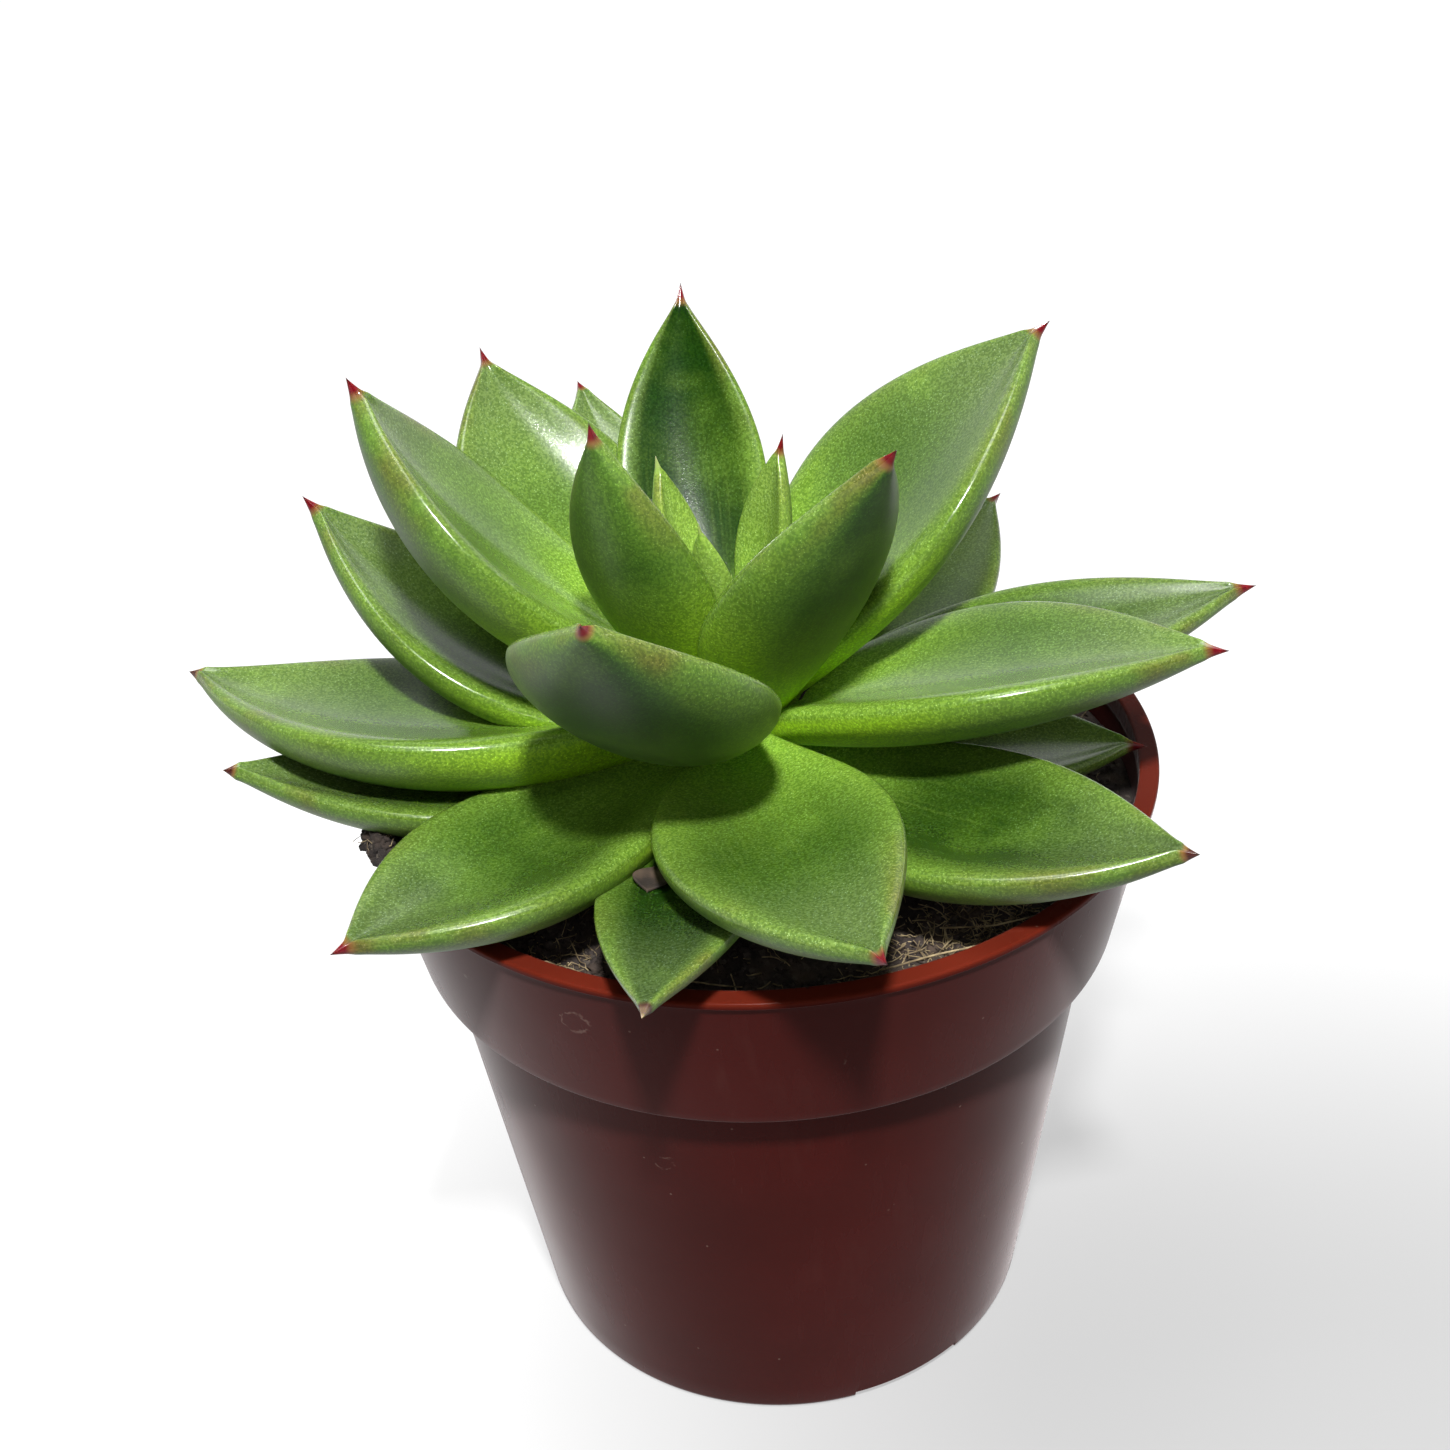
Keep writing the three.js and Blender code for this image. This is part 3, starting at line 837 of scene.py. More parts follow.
def carrier(name: str, points: np.ndarray, faces: list[Any], layers: dict[str, np.ndarray]) -> Thing:
    """Make an object whose vertices carry the values that a tree reads.

    Args:
        name: The object's name.
        points: The vertices, one row each, in metres.
        faces: The faces, as lists of vertex numbers.
        layers: The values of each layer, one number or one vector a vertex.

    Returns:
        The object, in the scene.
    """
    mesh = bpy.data.meshes.new(name)
    mesh.from_pydata(points.tolist(), [], faces)
    for label, values in layers.items():
        flat = values.ndim == 1
        layer = mesh.attributes.new(label, "FLOAT" if flat else "FLOAT_VECTOR", "POINT")
        layer.data.foreach_set("value" if flat else "vector", values.astype(np.float32).ravel())
    return placed(name, mesh)


def grown(source: Thing, tree: Tree, **values: Any) -> Mesh:
    """Run a tree on an object and keep its result as a plain mesh.

    Args:
        source: The object that carries the tree's geometry.
        tree: The tree.
        **values: The value of each of the tree's named inputs.

    Returns:
        The mesh. The source object keeps no modifier.
    """
    modifier = source.modifiers.new(tree.name, "NODES")
    modifier.node_group = tree
    for item in tree.interface.items_tree:
        if item.in_out == "INPUT" and item.name in values:
            modifier[item.identifier] = values[item.name]
    graph = bpy.context.evaluated_depsgraph_get()
    mesh = bpy.data.meshes.new_from_object(
        source.evaluated_get(graph), preserve_all_data_layers=True, depsgraph=graph)
    source.modifiers.remove(modifier)
    return mesh


def dropped(thing: Thing) -> None:
    """Remove an object that was only a source."""
    bpy.data.objects.remove(thing, do_unlink=True)


def piece(name: str, mesh: Mesh, slot: str, *nodes: str) -> Thing:
    """Put a finished mesh in the scene as a piece of the part.

    Args:
        name: The piece's name.
        mesh: Its mesh, in the part's frame.
        slot: The record's material slot that it belongs to; not used.
        *nodes: The solids that it stands for.

    Returns:
        The piece's object, at the origin.
    """
    mesh.name = name
    thing = placed(name, mesh)
    if nodes:
        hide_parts(*nodes)
    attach(thing, ROOT)
    log.info("%s: %d faces", name, len(mesh.polygons))
    return thing


def joined(name: str, meshes: list[Mesh]) -> Mesh:
    """Join several meshes, with their layers, in one.

    Args:
        name: The joined mesh's name.
        meshes: The meshes, which are used up.

    Returns:
        The joined mesh.
    """
    parts = [placed(f"{name}_part", mesh) for mesh in meshes]
    with bpy.context.temp_override(active_object=parts[0], selected_editable_objects=parts):
        bpy.ops.object.join()
    mesh = parts[0].data
    dropped(parts[0])
    return mesh


def rounded(corners: list[Triple], steps: int = 5, limit: float = 0.45,
            shoulder: float = 0.05) -> list[Pair]:
    """Round the corners of an outline.

    Args:
        corners: Radius, height and fillet of each corner, in millimetres.
        steps: Number of stretches in each rounded corner.
        limit: Most of a side that a fillet may take up.
        shoulder: How far from a fillet its extra points stand, as a share of what is left of the side.

    Returns:
        The outline's points. Each rounded corner has a point just before and after it, which keeps the
        shading of the flats beside it flat.
    """
    spots = [Vector(corner[:2]) for corner in corners]
    outline = [spots[0]]
    for before, spot, after, (_, _, fillet) in zip(spots, spots[1:], spots[2:], corners[1:]):
        if fillet == 0:
            outline.append(spot)
            continue
        back, ahead = before - spot, after - spot
        start = spot + back.normalized() * min(fillet, back.length * limit)
        finish = spot + ahead.normalized() * min(fillet, ahead.length * limit)
        outline.append(start.lerp(before, shoulder))
        for step in range(steps + 1):
            share = step / steps
            outline.append(start.lerp(spot, share).lerp(spot.lerp(finish, share), share))
        outline.append(finish.lerp(after, shoulder))
    outline.append(spots[-1])
    return [(spot.x, spot.y) for spot in outline]


def turned(name: str, outline: list[Pair], sides: int, material: Material,
           lump: list[float] | None = None, lump_size: float = 1.0, lump_height: float = 0.0,
           centre: Pair = (0.0, 0.0)) -> Mesh:
    """Turn an outline into a closed shape.

    Args:
        name: The shape's name.
        outline: Radius and height of each point, in millimetres, from the axis up the outside and back.
        sides: Number of sides.
        material: The shape's material.
        lump: Share of the random lumps at each point.
        lump_size: Scale of the lumps, in waves a metre.
        lump_height: Full height of the lumps, in millimetres.
        centre: Where the axis stands, in millimetres.

    Returns:
        The turned mesh, in metres.
    """
    points = np.array([(radius, 0.0, height) for radius, height in outline]) * MM
    shares = np.array(lump if lump else [0.0] * len(outline))
    source = carrier(name, points, [], {"lump": shares})
    mesh = grown(source, TREES["turned"], sides=sides, lump_size=lump_size, lump_height=lump_height * MM,
                 material=material)
    dropped(source)
    mesh.transform(Matrix.Translation((centre[0] * MM, centre[1] * MM, 0.0)))
    return mesh


@dataclass
class Pot:
    """The nursery pot: a thin turned shell with a stepped collar, a rolled rim and a notched foot."""

    height: float = 88.0
    rim_radius: float = 52.5
    lip_height: float = 0.9
    lip_proud: float = 0.4
    rim_band: float = 2.6
    rim_depth: float = 3.0
    collar_height: float = 22.3
    collar_foot_radius: float = 47.9
    body_top_radius: float = 45.0
    base_radius: float = 36.1
    wall: float = 1.1
    floor: float = 1.6
    foot_ring_width: float = 3.5
    centre_pad_radius: float = 14.0
    channel_rise: float = 1.8
    notch_height: float = 1.3
    notch_width: float = 17.0
    notch_angles: Triple = (-63.0, 57.0, 177.0)
    notch_inset: float = 1.0
    drain_holes: int = 6
    drain_radius: float = 2.4
    drain_ring_radius: float = 23.0
    drain_sides: int = 32
    sides: int = 192
    sharp_angle: float = 40.0

    @property
    def step(self) -> float:
        """Height of the collar's foot."""
        return self.height - self.collar_height

    @property
    def inner_floor(self) -> float:
        """Height of the floor's upper face over the raised channel."""
        return self.channel_rise + self.floor

    def outer_radius(self, height: float) -> float:
        """Work out the outside radius of the body or the collar.

        Args:
            height: Height over the table.

        Returns:
            The radius there.
        """
        if height <= self.step:
            return self.base_radius + (self.body_top_radius - self.base_radius) * height / self.step
        share = (height - self.step) / (self.height - self.lip_height - self.step)
        top = self.rim_radius - self.lip_proud
        return self.collar_foot_radius + (top - self.collar_foot_radius) * share

    def inner_corners(self) -> list[Triple]:
        """Work out the inside, from under the rim band down to the floor.

        Returns:
            Its corners, each as radius, height and rounding.
        """
        flange = self.height - self.rim_depth
        return [
            (self.rim_radius - self.rim_band, flange, 0.3),
            (self.outer_radius(flange - self.wall) - self.wall, flange - self.wall, 0.3),
            (self.collar_foot_radius - self.wall, self.step + self.wall, 0.4),
            (self.body_top_radius - self.wall, self.step - self.wall / 2, 0.4),
            (self.outer_radius(self.inner_floor) - self.wall, self.inner_floor, 0.6),
        ]

    def outline(self) -> list[Pair]:
        """Draw the shell, from under its centre up the outside and down the inside.

        Returns:
            Its rounded outline.
        """
        lip = self.height - self.lip_height
        ring = self.base_radius - self.foot_ring_width
        rise = self.channel_rise
        return rounded([
            (0.0, 0.0, 0.0),
            (self.centre_pad_radius, 0.0, 0.3),
            (self.centre_pad_radius + rise / 2, rise, 0.3),
            (ring - rise / 2, rise, 0.3),
            (ring, 0.0, 0.3),
            (self.base_radius, 0.0, 1.0),
            (self.body_top_radius, self.step, 0.25),
            (self.collar_foot_radius, self.step, 0.35),
            (self.rim_radius - self.lip_proud, lip, 0.12),
            (self.rim_radius, lip, 0.12),
            (self.rim_radius, self.height, 0.4),
            (self.rim_radius - self.rim_band, self.height, 0.35),
            *self.inner_corners(),
            (self.centre_pad_radius + rise / 2, self.inner_floor, 0.3),
            (self.centre_pad_radius, self.floor, 0.3),
            (0.0, self.floor, 0.0),
        ])

    def cutter_tree(self) -> Tree:
        """Make the tree that cuts the foot notches and the drainage holes.

        Returns:
            The tree, which sets each kind of cutter on a ring of its own.
        """
        tree = ShapeTree("pierced_foot", notch_start="float")

        def ring(count: int, radius: float, shape: Socket, start: Any) -> Socket:
            """Set copies of a shape on a ring, each turned to face outwards.

            Args:
                count: How many there are.
                radius: Radius of the ring.
                shape: The shape.
                start: Angle of the first one.

            Returns:
                The copies.
            """
            feeds = {"Vertices": count, "Radius": radius * MM}
            places = tree.out("GeometryNodeMeshCircle", feeds)
            turn = tree.times(tree.out("GeometryNodeInputIndex"), math.tau / count)
            feeds = {"Points": places, "Instance": shape, "Rotation": tree.packed(z=turn)}
            copies = tree.out("GeometryNodeInstanceOnPoints", feeds)
            whole = tree.out("GeometryNodeRealizeInstances", {0: copies})
            return tree.out("GeometryNodeTransform", {0: whole, "Rotation": tree.packed(z=start)})

        size = (2 * self.foot_ring_width * MM, self.notch_width * MM, 2 * self.notch_height * MM)
        box = tree.out("GeometryNodeMeshCube", {"Size": size})
        radius = self.base_radius - self.notch_inset
        notches = ring(len(self.notch_angles), radius, box, tree.given["notch_start"])
        feeds = {"Vertices": self.drain_sides, "Radius": self.drain_radius * MM,
                 "Depth": 4 * self.inner_floor * MM}
        drill = tree.out("GeometryNodeMeshCylinder", feeds)
        drains = ring(self.drain_holes, self.drain_ring_radius, drill, 0.0)
        cut = tree.add("GeometryNodeMeshBoolean", {"Mesh 1": tree.given["geometry"]}, operation="DIFFERENCE",
                       solver="EXACT")
        for tool in (notches, drains):
            tree.tree.links.new(tool, cut.inputs["Mesh 2"])
        return tree.end(cut.outputs[0])

    def build(self) -> Thing:
        """Make the pot in place of its solid.

        Returns:
            The pot.
        """
        plastic = PotPlastic().material()
        source = placed("pot_shell", turned("pot_shell", self.outline(), self.sides, plastic))
        start = math.radians(self.notch_angles[0])
        mesh = grown(source, self.cutter_tree(), notch_start=start, material=plastic)
        dropped(source)
        mesh.set_sharp_from_angle(angle=math.radians(self.sharp_angle))
        return piece("pot_shell", mesh, "pot_plastic", "pot")


@dataclass
class SoilBed:
    """The peat that fills the pot: a lumpy bed under loose crumbs and plant fibres."""

    pot: Pot
    below_rim: float = 7.0
    mound: float = 3.5
    gap: float = 0.3
    lump_height: float = 3.4
    lump_size: float = 130.0
    least_lump: float = 0.25
    lump_growth: float = 8.0
    rings: int = 56
    sides: int = 176

    @property
    def surface(self) -> float:
        """Height of the peat where it meets the pot."""
        return self.pot.height - self.below_rim

    @property
    def edge(self) -> float:
        """Radius of the peat at its surface.

        Returns:
            The inside radius of the pot there, less the gap.
        """
        _, flange, collar_foot, _, _ = self.pot.inner_corners()
        slope = (flange[0] - collar_foot[0]) / (flange[1] - collar_foot[1])
        return collar_foot[0] + slope * (self.surface - collar_foot[1]) - self.gap

    def height_at(self, radius: float) -> float:
        """Return the mean height of the surface at a distance from the pot's axis."""
        return self.surface + self.mound * (1 - (radius / self.edge) ** 2)

    def bed(self, peat: Material) -> Mesh:
        """Make the bed's mesh, with rings on top that the lumps push up and down.

        Args:
            peat: Its material.

        Returns:
            The mesh.
        """
        _, _, collar_foot, body_top, floor = self.pot.inner_corners()
        outline = [(0.0, floor[1] + self.gap)]
        corners = (floor, body_top, collar_foot)
        outline += [(radius - self.gap, height + self.gap) for radius, height, _ in corners]
        outline.append((self.edge, self.surface - 1.0))
        lump = [0.0] * len(outline)
        shares = [1 - ring / self.rings for ring in range(self.rings + 1)]
        outline += [(self.edge * share, self.height_at(self.edge * share)) for share in shares]
        lump += [min(1.0, self.lump_growth * (1 - share) + self.least_lump) for share in shares]
        return turned("peat_bed", outline, self.sides, peat, lump, self.lump_size, self.lump_height)

    def build(self) -> Thing:
        """Make the bed in place of its solid.

        Returns:
            The peat bed.
        """
        return piece("peat_bed", self.bed(Peat("peat_bed").material()), "potting_soil", "soil")


def crumb(name: str, rng: np.random.Generator, roughness: float = 0.32, flattest: float = 0.55) -> Thing:
    """Make one angular crumb of a few dozen faces and 1 m across, for a tree to scale.

    Args:
        name: The crumb's name.
        rng: Source of its random shape.
        roughness: How far its corners may stand in or out, as a share of its radius.
        flattest: Least that it may measure along an axis, as a share of its width.

    Returns:
        The crumb.
    """
    form = bmesh.new()
    bmesh.ops.create_cube(form, size=1.0)
    bmesh.ops.subdivide_edges(form, edges=form.edges[:], cuts=1, use_grid_fill=True)
    squash = rng.uniform(flattest, 1.0, 3)
    for corner in form.verts:
        corner.co = corner.co.normalized() * 0.5 * rng.uniform(1 - roughness, 1 + roughness)
        corner.co = Vector(squash * corner.co)
    mesh = bpy.data.meshes.new(name)
    form.to_mesh(mesh)
    form.free()
    return bpy.data.objects.new(name, mesh)


@dataclass(frozen=True)
class Strand:
    """A dry plant fibre that lies where its points are, in millimetres."""

    points: tuple[Triple, ...]
    radius: float = 0.12
    crook: float = 0.6
    crook_size: float = 240.0
    stretches: int = 12

    def mesh(self, name: str, material: Material) -> Mesh:
        """Make the strand's mesh.

        Args:
            name: Name of the strand.
            material: Its material.

        Returns:
            The mesh.
        """
        source = carrier(name, np.array(self.points) * MM, [], {})
        source.data.edges.add(len(self.points) - 1)
        for number, edge in enumerate(source.data.edges):
            edge.vertices = (number, number + 1)
        mesh = grown(source, TREES["strand"], stretches=self.stretches, radius=self.radius * MM,
                     crook=self.crook * MM, crook_size=self.crook_size, material=material)
        dropped(source)
        return mesh


@dataclass(frozen=True)
class Batch:
    """One strewing: shapes a square metre, smallest and largest scale, most lean in radians, and seed."""

    density: float
    smallest: float
    largest: float
    tilt: float
    seed: int


@dataclass
class Litter:
    """What lies loose: crumbs, mats of fibre, a clump on the rim, a dry leaf scrap and odd strands."""

    bed: SoilBed
    crumb_kinds: int = 6
    fibre_kinds: int = 8
    mats: tuple[Triple, ...] = ((22.0, -41.0, 7.0), (30.0, -36.0, 7.0), (-27.0, -38.5, 4.5))
    beside_mats: float = 0.05
    bare_radius: float = 18.0
    bare_fade: float = 16.0
    bare_share: float = 0.35
    top_depth: float = 2.5
    crumb_margin: float = 0.8
    fibre_margin: float = 3.6
    clump_angle: float = 200.5
    clump_size: Triple = (4.6, 1.7, 2.4)
    clump_foot: float = 0.3
    clump_inset: float = 1.1
    clump_lift: float = 0.5
    fibre_halves: Pair = (1.5, 4.5)
    fibre_radii: Pair = (0.05, 0.11)
    fibre_sway: float = 0.6
    fibre_sag: float = 0.8
    fibre_crook: float = 2.8
    fibre_crook_sizes: Pair = (260.0, 380.0)
    fibre_stretches: int = 9
    crumb_seed: int = 7
    fibre_seed: int = 8

    FINE = Batch(420000.0, 0.35 * MM, 1.3 * MM, 3.1, 7)
    COARSE = Batch(35000.0, 1.2 * MM, 2.6 * MM, 3.1, 9)
    MAT = Batch(3200000.0, 0.5, 1.1, 0.6, 10)
    HEAP = (Batch(2.2e6, 0.9 * MM, 2.1 * MM, 3.1, 11), Batch(2.6e6, 0.9 * MM, 2.1 * MM, 3.1, 12))
    WISPS = Batch(5e5, 0.3, 0.6, 1.0, 13)
    CLUMP_COLUMNS = 9
    CLUMP_ROWS = 7
    CLUMP_EDGE = 1.05
    STRANDS = (
        Strand(((-34, -35.5, 83.6), (-29.5, -38.2, 84.6), (-25.2, -39.8, 84.4), (-21.6, -41.6, 84.4)), 0.2),
        Strand(((-31, -37.6, 84.8), (-26.5, -39.2, 85.3), (-22.6, -42.4, 84.6)), 0.16),
        Strand(((-38.5, -30, 84), (-33, -34, 85.6), (-28, -38.6, 84.6)), 0.1),
        Strand(((12, -42.8, 84), (18.5, -43.6, 86.2), (25.6, -42.3, 86.6), (31, -39.6, 86.4)), 0.14),
        Strand(((20, -36, 84.2), (26, -38.6, 86), (32, -36.6, 85.8), (37, -33, 85.6)), 0.12),
        Strand(((-12, -42.5, 83.6), (-8.5, -44, 84.6), (-4, -44.6, 84)), 0.1),
    )
    # Thin dark strands of peat: one up between the leaves beside the stem, one on the peat at the back
    # right.
    DARK_STRANDS = (
        Strand(((4.5, -8.8, 98.4), (6.3, -6.4, 100.2), (8.6, -5.2, 101.4)), 0.16, 0.4),
        Strand(((40, 26, 84), (43, 20, 85.4), (45.4, 14, 84.6)), 0.12),
    )

    def shapes(self, name: str, things: list[Thing]) -> bpy.types.Collection:
        """Gather objects in a collection that holds nothing else.

        Args:
            name: Name of the collection.
            things: The objects.

        Returns:
            The collection.
        """
        group = bpy.data.collections.new(name)
        for thing in things:
            group.objects.link(thing)
        return group

    def crumbs(self) -> bpy.types.Collection:
        """Return the crumb shapes."""
        rng = np.random.default_rng(self.crumb_seed)
        return self.shapes("crumb_shapes", [crumb(f"crumb_{i}", rng) for i in range(self.crumb_kinds)])

    def fibres(self, material: Material) -> bpy.types.Collection:
        """Make the fibre shapes, each 3 to 9 mm long.

        Args:
            material: Their material.

        Returns:
            The collection of the shapes.
        """
        rng = np.random.default_rng(self.fibre_seed)
        things = []
        for number in range(self.fibre_kinds):
            half = rng.uniform(*self.fibre_halves)
            places = ((-half, self.fibre_sway), (0.0, self.fibre_sag), (half, self.fibre_sway))
            points = tuple((x, *rng.uniform(-stray, stray, 2)) for x, stray in places)
            crook_size = rng.uniform(*self.fibre_crook_sizes)
            radius = rng.uniform(*self.fibre_radii)
            strand = Strand(points, radius, self.fibre_crook, crook_size, self.fibre_stretches)
            mesh = strand.mesh(f"fibre_{number}", material)
            things.append(bpy.data.objects.new(f"fibre_{number}", mesh))
        return self.shapes("fibre_shapes", things)

    def strewn(self, ground: Thing, group: bpy.types.Collection, material: Material, batch: Batch) -> Mesh:
        """Strew shapes over a ground, which is used up.

        Args:
            ground: The surface, with its layer litter, which is 1 where the batch lies at full density.
            group: The shapes.
            material: Their material.
            batch: How many shapes there are, and how they lie.

        Returns:
            The mesh of all the shapes.
        """
        mesh = grown(ground, TREES["litter"], shapes=group, material=material, **vars(batch))
        dropped(ground)
        return mesh

    def ground(self, bed: Mesh, patches: bool) -> Thing:
        """Return a copy of the bed whose layer litter is set on its top alone.

        Args:
            bed: The bed's mesh.
            patches: Whether the litter lies only in the mats.

        Returns:
            The copy, in the scene.
        """
        points = np.array([corner.co for corner in bed.vertices]) / MM
        x, y, z = points.T
        radius = np.hypot(x, y)
        if patches:
            mats = (np.exp(-((x - mx) ** 2 + (y - my) ** 2) / size ** 2) for mx, my, size in self.mats)
            share = sum(mats) + self.beside_mats
            margin = self.fibre_margin
        else:
            bare = np.clip((radius - self.bare_radius) / self.bare_fade, 0, 1)
            share = self.bare_share + (1 - self.bare_share) * bare
            margin = self.crumb_margin
        top = (z > self.bed.surface - self.top_depth) & (radius < self.bed.edge - margin)
        share = np.clip(share, 0, 1) * top
        copy = bed.copy()
        copy.attributes.new("litter", "FLOAT", "POINT").data.foreach_set("value", share.astype(np.float32))
        return placed("ground", copy)

    def clump(self, name: str, height: float) -> Thing:
        """Make a low dome on the rim, for the clump's crumbs to sit on.

        Args:
            name: Name of the dome.
            height: How high it rises.

        Returns:
            The dome.
        """
        columns, rows = self.CLUMP_COLUMNS, self.CLUMP_ROWS
        along, out, _ = self.clump_size
        pot = self.bed.pot
        u, v = (axis.ravel() for axis in np.meshgrid(np.linspace(-1, 1, columns), np.linspace(-1, 1, rows)))
        rise = height * np.clip(1 - u ** 2 - v ** 2, 0, 1)
        radius = pot.rim_radius - self.clump_inset + v * out
        turn = math.radians(self.clump_angle) + u * along / pot.rim_radius
        level = pot.height + self.clump_lift + rise
        points = np.stack((radius * np.cos(turn), radius * np.sin(turn), level), -1)
        starts = [row * columns + column for row in range(rows - 1) for column in range(columns - 1)]
        faces = [(start, start + 1, start + columns + 1, start + columns) for start in starts]
        inside = (u ** 2 + v ** 2 < self.CLUMP_EDGE).astype(float)
        return carrier(name, points * MM, faces, {"litter": inside})

    def build(self, bed: Mesh) -> list[Thing]:
        """Make all the litter.

        Args:
            bed: The peat bed's mesh.

        Returns:
            The pieces.
        """
        peat, straw = Peat("peat_crumbs").material(), DryFibre("soil_fibres").material()
        crumbs, fibres = self.crumbs(), self.fibres(straw)
        batches = (self.FINE, self.COARSE)
        loose = [self.strewn(self.ground(bed, False), crumbs, peat, batch) for batch in batches]
        mat = self.strewn(self.ground(bed, True), fibres, straw, self.MAT)
        black = Peat("clump_peat", srgb(34, 29, 27), srgb(60, 50, 43)).material()
        top = self.clump_size[2]
        heap = [self.strewn(self.clump(f"clump_{height}", height), crumbs, black, batch)
                for height, batch in zip((self.clump_foot, top), self.HEAP)]
        wisps = self.strewn(self.clump("clump_wisps", top), fibres, straw, self.WISPS)
        strands = [strand.mesh("strand", straw) for strand in self.STRANDS]
        brown = DryFibre("dead_leaf", srgb(36, 28, 23), srgb(72, 58, 46)).material()
        dead = Blade(0, 19, 94.0, 8, -8, 5.0, 4.5, 10, -6, plump=0.12, spine=0.6, root=31.0)
        dark = [strand.mesh("dark_strand", peat) for strand in self.DARK_STRANDS]
        for group in (crumbs, fibres):
            for thing in list(group.objects):
                dropped(thing)
            bpy.data.collections.remove(group)
        heaps = {"peat_crumbs": loose, "soil_fibres": [mat, *strands], "rim_clump": [*heap, wisps],
                 "dark_strands": dark}
        pieces = [piece(name, joined(name, meshes), "potting_soil") for name, meshes in heaps.items()]
        return [*pieces, piece("dead_leaf", dead.mesh("dead_leaf", brown), "potting_soil")]


@dataclass(frozen=True)
class Blade:
    """One leaf. Degrees and millimetres, in the terms of the solids' own rows.

    The place counts along the spiral from the first whole leaf, and sway is the leaf's own turn from it.
    """

    place: int
    sway: float
    rise: float
    pitch: float
    curl: float
    length: float
    width: float
    bend: float = 0.0
    twist: float = 0.0
    widest: float = 0.52
    tip: Tip = Tip.CRIMSON
    # deep above 0 lays painted shade in the blade's middle and thins its wash of painted sheen; below 0 it
    # mixes in the paler young colour.
    deep: float = 0.0
    spine: float = 3.2
    root: float = 3.5
    plump: float = 1.0
    roll: float = 1.7

    SPIRAL_START = 232.0
    SPIRAL_STEP = 138.0
    ROOT_WIDTH = 0.25
    ROOT_POWER = 1.15
    TIP_POWER = 1.95
    THICKNESS = 0.23
    ROOT_THICKNESS = 0.6
    THICKEST_AT = 0.4
    THINNING_POWER = 2.2
    END_POWER = 0.85
    UNDERSIDE_SHARE = 0.8
    UNDERSIDE_POWER = 0.85
    UPPERSIDE_POWER = 0.85
    SECTION_POWER = 0.9
    MARGIN_RISE = 0.2
    SPINE_RADIUS = 0.85
    SPINE_POWER = 1.1
    SPINE_OVERLAP = 0.6
    FULL_SPINE_WIDTH = 20.0
    ROOT_END = -0.04
    CAP = 0.0001
    FINE_SPINES = 2.5
    BODY_SECTIONS = 44
    TIP_SECTIONS = 22
    SIDES = 72

    def stations(self) -> np.ndarray:
        """Choose where the sections stand, closer together towards the tip.

        Returns:
            Their places, as shares of the leaf's length.
        """
        change = 1 - self.FINE_SPINES * self.spine / self.length
        body = np.linspace(self.ROOT_END, change, self.BODY_SECTIONS)
        tip = np.linspace(change, 1, self.TIP_SECTIONS)[1:]
        return np.concatenate(([self.ROOT_END - self.CAP], body, tip))

    def directions(self, t: np.ndarray) -> np.ndarray:
        """Work out the midrib's direction, for a leaf that points along +X.

        Args:
            t: The stations, as shares of the leaf's length.

        Returns:
            A unit vector at each station.
        """
        slope, heading = np.radians(self.pitch + self.curl * t), np.radians(self.bend * t)
        level = np.cos(slope)
        return np.stack((level * np.cos(heading), level * np.sin(heading), np.sin(slope)), -1)

    def midrib(self, t: np.ndarray, steps: int = 40) -> np.ndarray:
        """Work out the midrib, for a leaf that points along +X.

        Args:
            t: The stations, as shares of the leaf's length.
            steps: How many directions are averaged up to each station.

        Returns:
            Its points at the stations, in millimetres.
        """
        middles = (np.arange(steps) + 0.5) / steps
        run = self.directions(t[:, None] * middles).mean(1) * (t * self.length)[:, None]
        return run + (self.root, 0.0, 0.0)

    def sizes(self, t: np.ndarray) -> dict[str, np.ndarray]:
        """Work out the half width and the thickness over and under the midrib.

        Args:
            t: The stations, as shares of the leaf's length.

        Returns:
            Each size at the stations, in metres, by its name.
        """
        spine = self.spine / self.length
        end = 1 - self.SPINE_OVERLAP * spine
        body = np.clip(t / end, 0, 1)
        swell = np.sin(np.pi / 2 * np.clip(body / self.widest, 0, 1)) ** self.ROOT_POWER
        taper = np.clip((body - self.widest) / (1 - self.widest), 0, 1) ** self.TIP_POWER
        width = np.where(body < self.widest, self.ROOT_WIDTH + (1 - self.ROOT_WIDTH) * swell, 1 - taper)
        fatten = np.sin(np.pi / 2 * np.clip(body / self.THICKEST_AT, 0, 1))
        thin = np.clip((body - self.THICKEST_AT) / (1 - self.THICKEST_AT), 0, 1) ** self.THINNING_POWER
        thick = np.where(body < self.THICKEST_AT, self.ROOT_THICKNESS + (1 - self.ROOT_THICKNESS) * fatten,
                         (1 - thin) ** self.END_POWER) * self.width * self.THICKNESS * self.plump
        radius = self.SPINE_RADIUS * min(1.0, self.width / self.FULL_SPINE_WIDTH)
        needle = radius * np.clip((1 - t) / spine, 0, 1) ** self.SPINE_POWER
        blades = {"half_width": self.width / 2 * width, "under": thick * self.UNDERSIDE_SHARE,
                  "over": thick * (1 - self.UNDERSIDE_SHARE)}
        closed = t > t[0]
        return {name: (size ** 3 + needle ** 3) ** (1 / 3) * closed * MM for name, size in blades.items()}

    def frames(self, t: np.ndarray) -> tuple[np.ndarray, np.ndarray]:
        """Work out how the sections stand, turned by the leaf's twist.

        Args:
            t: The stations, as shares of the leaf's length.

        Returns:
            Their sideways and their upward directions.
        """
        heading, twist = np.radians(self.bend * t), math.radians(self.twist)
        along = self.directions(t)
        level = np.stack((-np.sin(heading), np.cos(heading), np.zeros_like(t)), -1)
        side = level * math.cos(twist) + np.cross(along, level) * math.sin(twist)
        return side, np.cross(along, side)

